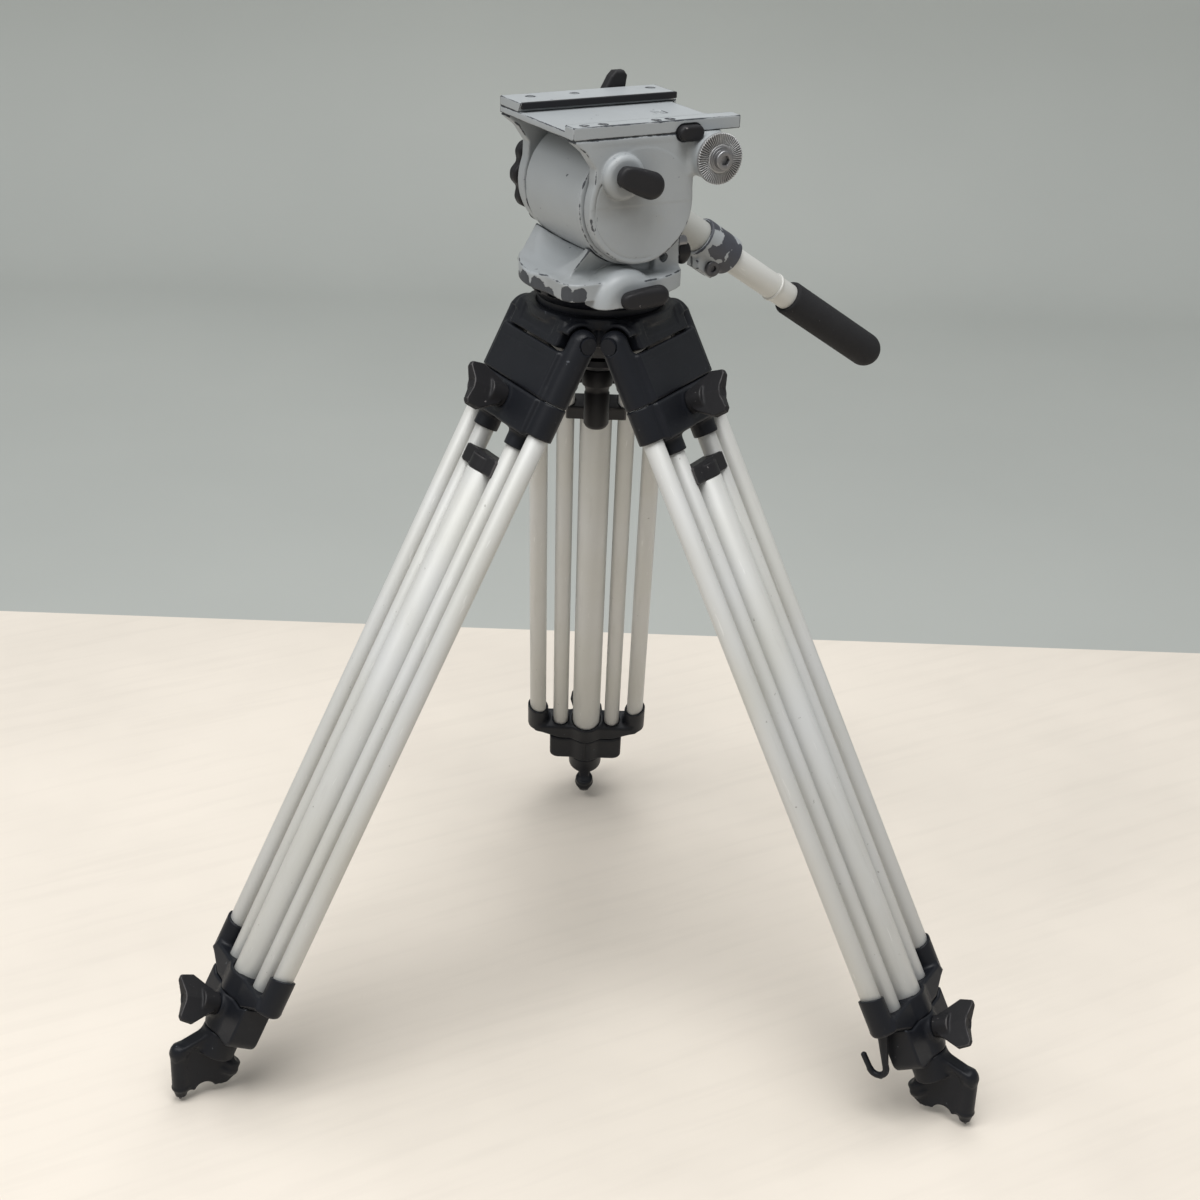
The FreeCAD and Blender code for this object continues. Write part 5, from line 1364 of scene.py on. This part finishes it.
class TRIPOD_OT_leg_knobs(bpy.types.Operator):
    """Builds the wing knobs, the guide blocks and the weight hook"""
    bl_idname = "tripod.leg_knobs"
    bl_label = "Build the leg knobs"

    def execute(self, context):
        plastic = material("plastic")
        cell = 0.7
        upper = join(0.3, wing_knob(CAST_FACE, UPPER_KNOB_S, 38.0, 58.0),
                     knob_stud(-4.0, CAST_FACE, UPPER_KNOB_S))
        lower = join(0.3, wing_knob(CENTRE_R + 3.5, LOWER_KNOB_S, 42.0, 40.0),
                     knob_stud(CENTRE_R + 0.6, CENTRE_R + 3.5, LOWER_KNOB_S))
        for name, group, field in (("upper_knob", "upper_clamp", upper), ("lower_knob", "lower_clamp", lower)):
            box = boxed([span(f"leg_a_{name}", LEG)], 3.0)
            on_each_leg(name, group, field, *box, plastic, "black_plastic", cell, mirrored=("leg_a",))
        on_each_leg("guide_block", "lower", guide_block(), *boxed([GUIDE], 2.0), plastic, "black_plastic", 0.9)
        box = boxed([span("leg_b_hook", leg_frame("leg_b"))], 3.0)
        piece = cast("weight_hook_wire", "leg_b_upper", hook(), *box, 0.6, leg_frame("leg_b"))
        finish(piece, material("casting"), "black_casting", "leg_b_hook")
        return {"FINISHED"}


class TRIPOD_OT_tubes(bpy.types.Operator):
    """Builds the fifteen leg tubes"""
    bl_idname = "tripod.tubes"
    bl_label = "Build the leg tubes"

    def execute(self, context):
        leg_tubes()
        return {"FINISHED"}


class TRIPOD_OT_crown(bpy.types.Operator):
    """Builds the bowl casting with its three arms, the head's lower ring and the tie-down handle"""
    bl_idname = "tripod.crown"
    bl_label = "Build the crown"

    def execute(self, context):
        piece = cast("crown_cast", "crown", crown(), *boxed([RING], 2.0), 1.1)
        finish(piece, material("casting"), "black_casting", "crown")
        piece = cast("plinth_ring", "levelling_ball", plinth(), *boxed([PLINTH], 2.0), 1.0)
        finish(piece, material("casting"), "black_casting", "plinth")
        handle = span("tie_handle")
        top, low = handle[1][2], handle[0][2]
        grip = 10.25
        profile = [(0.0, 11.8), (0.8, 12.5), (13.0, 12.5), (14.2, 12.0), (15.5, grip), (19.0, grip - 0.7),
                   (20.0, grip - 0.7), (21.0, grip), (top - low - 4.0, grip), (top - low - 1.2, grip - 1.6),
                   (top - low, grip - 3.2)]
        mesh = lathe([((0, 0, top), (0, 0, -1), profile)], ROW, 96)
        piece = add_piece("tie_down_grip", "tie_down_handle", mesh)
        finish(piece, material("plastic"), "black_plastic", "tie_handle")
        for node, name in (("half_ball", "casting"), ("tie_down", "casting"), ("hinge_pins", "casting"),
                           ("tilt_shaft", "steel"), ("spirit_level", "vial")):
            for place in frame["nodes"][node].material_slots:
                place.material = material(name)
        return {"FINISHED"}


class TRIPOD_OT_head(bpy.types.Operator):
    """Builds the pan housing, the drum, the tilting yoke and the platform"""
    bl_idname = "tripod.head"
    bl_label = "Build the head"

    def execute(self, context):
        cell = 0.85
        paint = material("paint")
        piece = cast("housing_cast", "pan_head", pan_housing(), *boxed([HOUSING], 6.0), cell)
        finish(piece, material("base_paint"), "head_paint", "pan_housing")
        piece = cast("drum_cover", "pan_head", tilt_drum(), *boxed([DRUM], 2.0), 1.0)
        finish(piece, paint, "head_paint", "tilt_drum")
        cheeks = boxed([CHEEK, span("cheek_far")], 3.0)
        piece = cast("yoke_cast", "tilt_head", yoke(), *cheeks, cell)
        finish(piece, material("yoke_paint"), "head_paint", "cheek_near", "cheek_far")
        piece = cast("platform_cast", "tilt_head", platform(), *boxed([PLATFORM], 2.0), 0.8)
        finish(piece, paint, "head_paint", "platform")
        piece = cast("rail_bar", "tilt_head", rail(), *boxed([RAIL], 2.0), 0.7)
        finish(piece, paint, "head_paint", "plate_rail")
        # The shade in the rail's undercut is painted by a black strip
        piece = cast("rail_strip", "tilt_head", rail_strip(), *boxed([RAIL], 3.0), 0.5)
        finish(piece, material("strip"), "black_plastic")
        return {"FINISHED"}


class TRIPOD_OT_controls(bpy.types.Operator):
    """Builds the drag levers, the wheel, the button, the rosettes, the brake and the screws"""
    bl_idname = "tripod.controls"
    bl_label = "Build the controls"

    def execute(self, context):
        plastic, cell = material("plastic"), settings().fine_cell
        levers = (("tilt_lever", "tilt_drag", TILT_DRAG, -20.0, 10.6, "tilt_knob"),
                  ("pan_lever", "pan_drag", PAN_DRAG, 4.0, 8.2, "pan_knob"))
        for name, body, place, turn, half, node in levers:
            low, high = np.array(place) - (6, 24, 30), np.array(place) + (17, 34, 30)
            piece = cast(name, body, drag_lever(*place, turn, half), low, high, cell)
            finish(piece, plastic, "black_plastic", node)
        piece = cast("drag_wheel_lobed", "counterbalance", wheel(), *boxed([span("drag_wheel")], 1.0), 0.9)
        finish(piece, plastic, "black_plastic", "drag_wheel")
        piece = cast("plate_lock_lever", "plate_lock", plate_lever(), *boxed([span("plate_lever")], 4.0), 0.7)
        finish(piece, plastic, "black_plastic", "plate_lever")
        piece = cast("release_button_cap", "plate_release", button(), *boxed([BUTTON_SPAN], 1.0), cell)
        finish(piece, plastic, "black_plastic", "release_button")
        discs = boxed([ROSETTE_SPAN], 1.0)
        for side, name in ((1, "rosette_near"), (-1, "rosette_far")):
            low, high = np.array(discs[0]), np.array(discs[1])
            if side > 0:
                low[0] = HEAD_X + 9
            else:
                high[0] = -HEAD_X - 9
            piece = cast(name, "tilt_head", rosette(side), low, high, 0.42)
            finish(piece, material("rosette"), "steel")
        low = np.array(discs[0])
        low[0] = HEAD_X + 1
        piece = cast("rosette_cap_bolt", "tilt_head", rosette_bolt(), low, discs[1] + 2, 0.45)
        finish(piece, material("steel"), "steel", "rosettes")
        box = boxed([span("pan_brake")], 6.0)
        piece = cast("brake_stem", "pan_lock", brake("stem"), *box, cell)
        finish(piece, material("steel"), "steel")
        piece = cast("brake_handle", "pan_lock", brake("handle"), *box, cell)
        finish(piece, plastic, "black_plastic", "pan_brake")
        self.screws()
        return {"FINISHED"}

    def screws(self):
        """Socket-head screws, sunk in the platform and the rail, in one mesh."""
        head = cut(0.2, rod((0, 0, -3), (0, 0, -0.5), 2.9, edge=0.4),
                   plate(hexagon(0, 0, 1.6), 2, -1.8, 3))
        points, faces = skin(head, (-4, -4, -4), (4, 4, 1), 0.3)
        unit = closed_mesh("screw_head", points, faces, sharpness(head, points, 0.5), ROW)
        places = [(x, y, DECK) for x, y in screw_places() if x > 0 or y > REAR_Y]
        places += [(RAIL_IN - 22, y, RAIL[1][2] - 0.6) for y in RAIL_SCREWS]
        mesh = repeated("deck_screws", unit, [ROW @ Vector(p) for p in places], material("dark_steel"))
        finish(add_piece("deck_screws", "tilt_head", mesh), material("dark_steel"), "steel", "plate_screws")


class TRIPOD_OT_pan_bar(bpy.types.Operator):
    """Builds the pan bar: the cranked arm, its clamp, the tube and the foam grip"""
    bl_idname = "tripod.pan_bar"
    bl_label = "Build the pan bar"

    def execute(self, context):
        piece = cast("pan_arm_cast", "pan_bar", pan_arm(), *boxed([span("pan_arm")], 2.0), 0.9)
        finish(piece, material("arm_paint"), "head_paint", "pan_arm")
        clamp = boxed([span("pan_clamp")], 2.0)
        piece = cast("pan_clamp_cast", "pan_bar", pan_clamp(), *clamp, 0.8)
        finish(piece, material("clamp_paint"), "head_paint", "pan_clamp")
        piece = cast("pan_clamp_bolt", "pan_bar", pinch_bolt(), *clamp, 0.55)
        finish(piece, material("dark_steel"), "steel")
        start_d, ring_d = SOCKET_END - 70.0, GRIP_START - 21.0
        profile = tube_profile(GRIP_START + GRIP_LENGTH - 14 - start_d, 11.75)
        runs = [(on_bar(start_d), BAR, profile),
                (on_bar(ring_d), BAR, [(0, 12.2), (0.5, 12.9), (2.5, 12.9), (3.0, 12.2)])]
        piece = add_piece("pan_tube_drawn", "pan_bar_extension", lathe(runs, ROW))
        finish(piece, material("tube"), "tube_anodised", "pan_tube")
        length, radius = GRIP_LENGTH, 15.5
        bead = [(0.0, radius - 2.0), (0.8, radius - 0.6), (2.5, radius)]
        bead += [(length - radius, radius)]
        bead += [(length - radius + radius * math.sin(a), radius * math.cos(a))
                 for a in np.linspace(0.15, 1.45, 10)]
        piece = add_piece("grip_foam", "pan_bar_extension", lathe([(on_bar(GRIP_START), BAR, bead)], ROW, 96))
        finish(piece, material("foam"), "foam_grip", "grip")
        return {"FINISHED"}


CAMERA_AT = (1362.95, -787.16, 1100.17)
CAMERA_YAW = 2.6125
CAMERA_PITCH = 0.4254
CAMERA_ROLL = 0.0354
CARD_END = 2330.0
WALL_AT = 4300.0
LAMPS = (("Key", (1.2, -0.7, 4.2), 2.6, 1.0), ("Left", (0.2, -2.8, 3.4), 2.0, 0.42),
         ("Back", (-0.5, 0.4, 4.0), 1.6, 0.25))


class TRIPOD_OT_stage(bpy.types.Operator):
    """Sets the floor, the backdrop, the lights and the camera"""
    bl_idname = "tripod.stage"
    bl_label = "Set the stage"

    def execute(self, context):
        self.camera(context)
        self.floor()
        self.lights(context)
        return {"FINISHED"}

    def camera(self, context):
        yaw, pitch, roll = CAMERA_YAW, CAMERA_PITCH, CAMERA_ROLL
        ahead = Vector((math.cos(yaw) * math.cos(pitch), math.sin(yaw) * math.cos(pitch), -math.sin(pitch)))
        right = ahead.cross(Vector((0, 0, 1))).normalized()
        up = right.cross(ahead)
        right, up = (right * math.cos(roll) + up * math.sin(roll), up * math.cos(roll) - right * math.sin(roll))
        data = bpy.data.cameras.new("Camera")
        data.sensor_width, data.lens = 36.0, settings().lens
        data.clip_end = 50.0
        camera = bpy.data.objects.new("Camera", data)
        context.scene.collection.objects.link(camera)
        turn = Matrix((right, up, -ahead)).transposed().to_4x4()
        camera.matrix_world = Matrix.Translation(Vector(CAMERA_AT) * MM) @ turn
        context.scene.camera = camera

    def floor(self):
        """A wide card floor; past it a pale sheet runs back and sweeps up into a wall."""
        ahead = Vector((math.cos(CAMERA_YAW), math.sin(CAMERA_YAW), 0))
        side = Vector((-ahead.y, ahead.x, 0))
        origin = Vector((CAMERA_AT[0], CAMERA_AT[1], 0)) * MM
        wall, bend = WALL_AT * MM, 0.5
        line = [(-3.0, 0.0), (CARD_END * MM, 0.0), (wall - bend, 0.0)]
        line += [(wall - bend + bend * math.sin(a), bend - bend * math.cos(a))
                 for a in np.linspace(0.15, math.pi / 2, 10)]
        line += [(wall, 1.8)]
        mesh = bpy.data.meshes.new("floor")
        points, faces = [], []
        for x, z in line:
            points += [origin + ahead * x + side * 5 + Vector((0, 0, z)),
                       origin + ahead * x - side * 5 + Vector((0, 0, z))]
        for i in range(len(line) - 1):
            faces.append((2 * i, 2 * i + 1, 2 * i + 3, 2 * i + 2))
        mesh.from_pydata(points, [], faces)
        mesh.shade_smooth()
        ground = bpy.data.objects.new("floor", mesh)
        bpy.context.scene.collection.objects.link(ground)
        mesh.materials.append(card("Card floor"))
        mesh.materials.append(backdrop("Backdrop"))
        for i, face in enumerate(mesh.polygons):
            face.material_index = 0 if i < 1 else 1

    def lights(self, context):
        world = bpy.data.worlds.new("World")
        world.use_nodes = True
        back = world.node_tree.nodes["Background"]
        back.inputs["Color"].default_value = (0.96, 0.98, 1.0, 1)
        back.inputs["Strength"].default_value = 0.42
        context.scene.world = world
        context.scene.view_settings.view_transform = "Standard"
        power = settings().light
        for name, at, size, share in LAMPS:
            data = bpy.data.lights.new(name, "AREA")
            data.shape, data.size, data.energy = "DISK", size, share * power
            lamp = bpy.data.objects.new(name, data)
            context.scene.collection.objects.link(lamp)
            lamp.location = at
            lamp.rotation_mode = "QUATERNION"
            lamp.rotation_quaternion = (Vector((0, 0, 0.45)) - Vector(at)).to_track_quat("-Z", "Y")


def backdrop(name):
    """A pale sheet that shows only from its front, so it hides nothing from a place behind it."""
    material_new, tree, where = start(name)
    cloud = noise(tree, where, 1.2, 3.0)
    colour = blend(tree, cloud, (0.36, 0.375, 0.355), (0.43, 0.445, 0.42))
    shader, output = end(tree, colour, 0.8, None, 0)
    behind = add(tree, "ShaderNodeNewGeometry").outputs["Backfacing"]
    clear = add(tree, "ShaderNodeBsdfTransparent").outputs[0]
    seen = add(tree, "ShaderNodeMixShader", {0: behind, 1: shader.outputs["BSDF"], 2: clear})
    tree.links.new(seen.outputs[0], output.inputs["Surface"])
    return material_new


class TRIPOD_PT_panel(bpy.types.Panel):
    """Lists the steps that build the tripod"""
    bl_idname = "TRIPOD_PT_panel"
    bl_label = "Tripod"
    bl_space_type = "VIEW_3D"
    bl_region_type = "UI"
    bl_category = "Tripod"

    def draw(self, context):
        for name in TripodSettings.__annotations__:
            self.layout.prop(context.scene.tripod_settings, name)
        for operator in STEPS:
            self.layout.operator(operator.bl_idname)


STEPS = (TRIPOD_OT_materials, TRIPOD_OT_leg_castings, TRIPOD_OT_leg_knobs, TRIPOD_OT_tubes, TRIPOD_OT_crown,
         TRIPOD_OT_head, TRIPOD_OT_controls, TRIPOD_OT_pan_bar, TRIPOD_OT_stage)
CLASSES = (TripodSettings, *STEPS, TRIPOD_PT_panel)


def register():
    for item in CLASSES:
        bpy.utils.register_class(item)
    bpy.types.Scene.tripod_settings = bpy.props.PointerProperty(type=TripodSettings)


def unregister():
    del bpy.types.Scene.tripod_settings
    for item in reversed(CLASSES):
        bpy.utils.unregister_class(item)


def main():
    register()
    for step in STEPS:
        group, name = step.bl_idname.split(".")
        result = getattr(getattr(bpy.ops, group), name)()
        if result != {"FINISHED"}:
            raise RuntimeError(f"{step.bl_idname} did not finish")


if __name__ == "__main__":
    main()
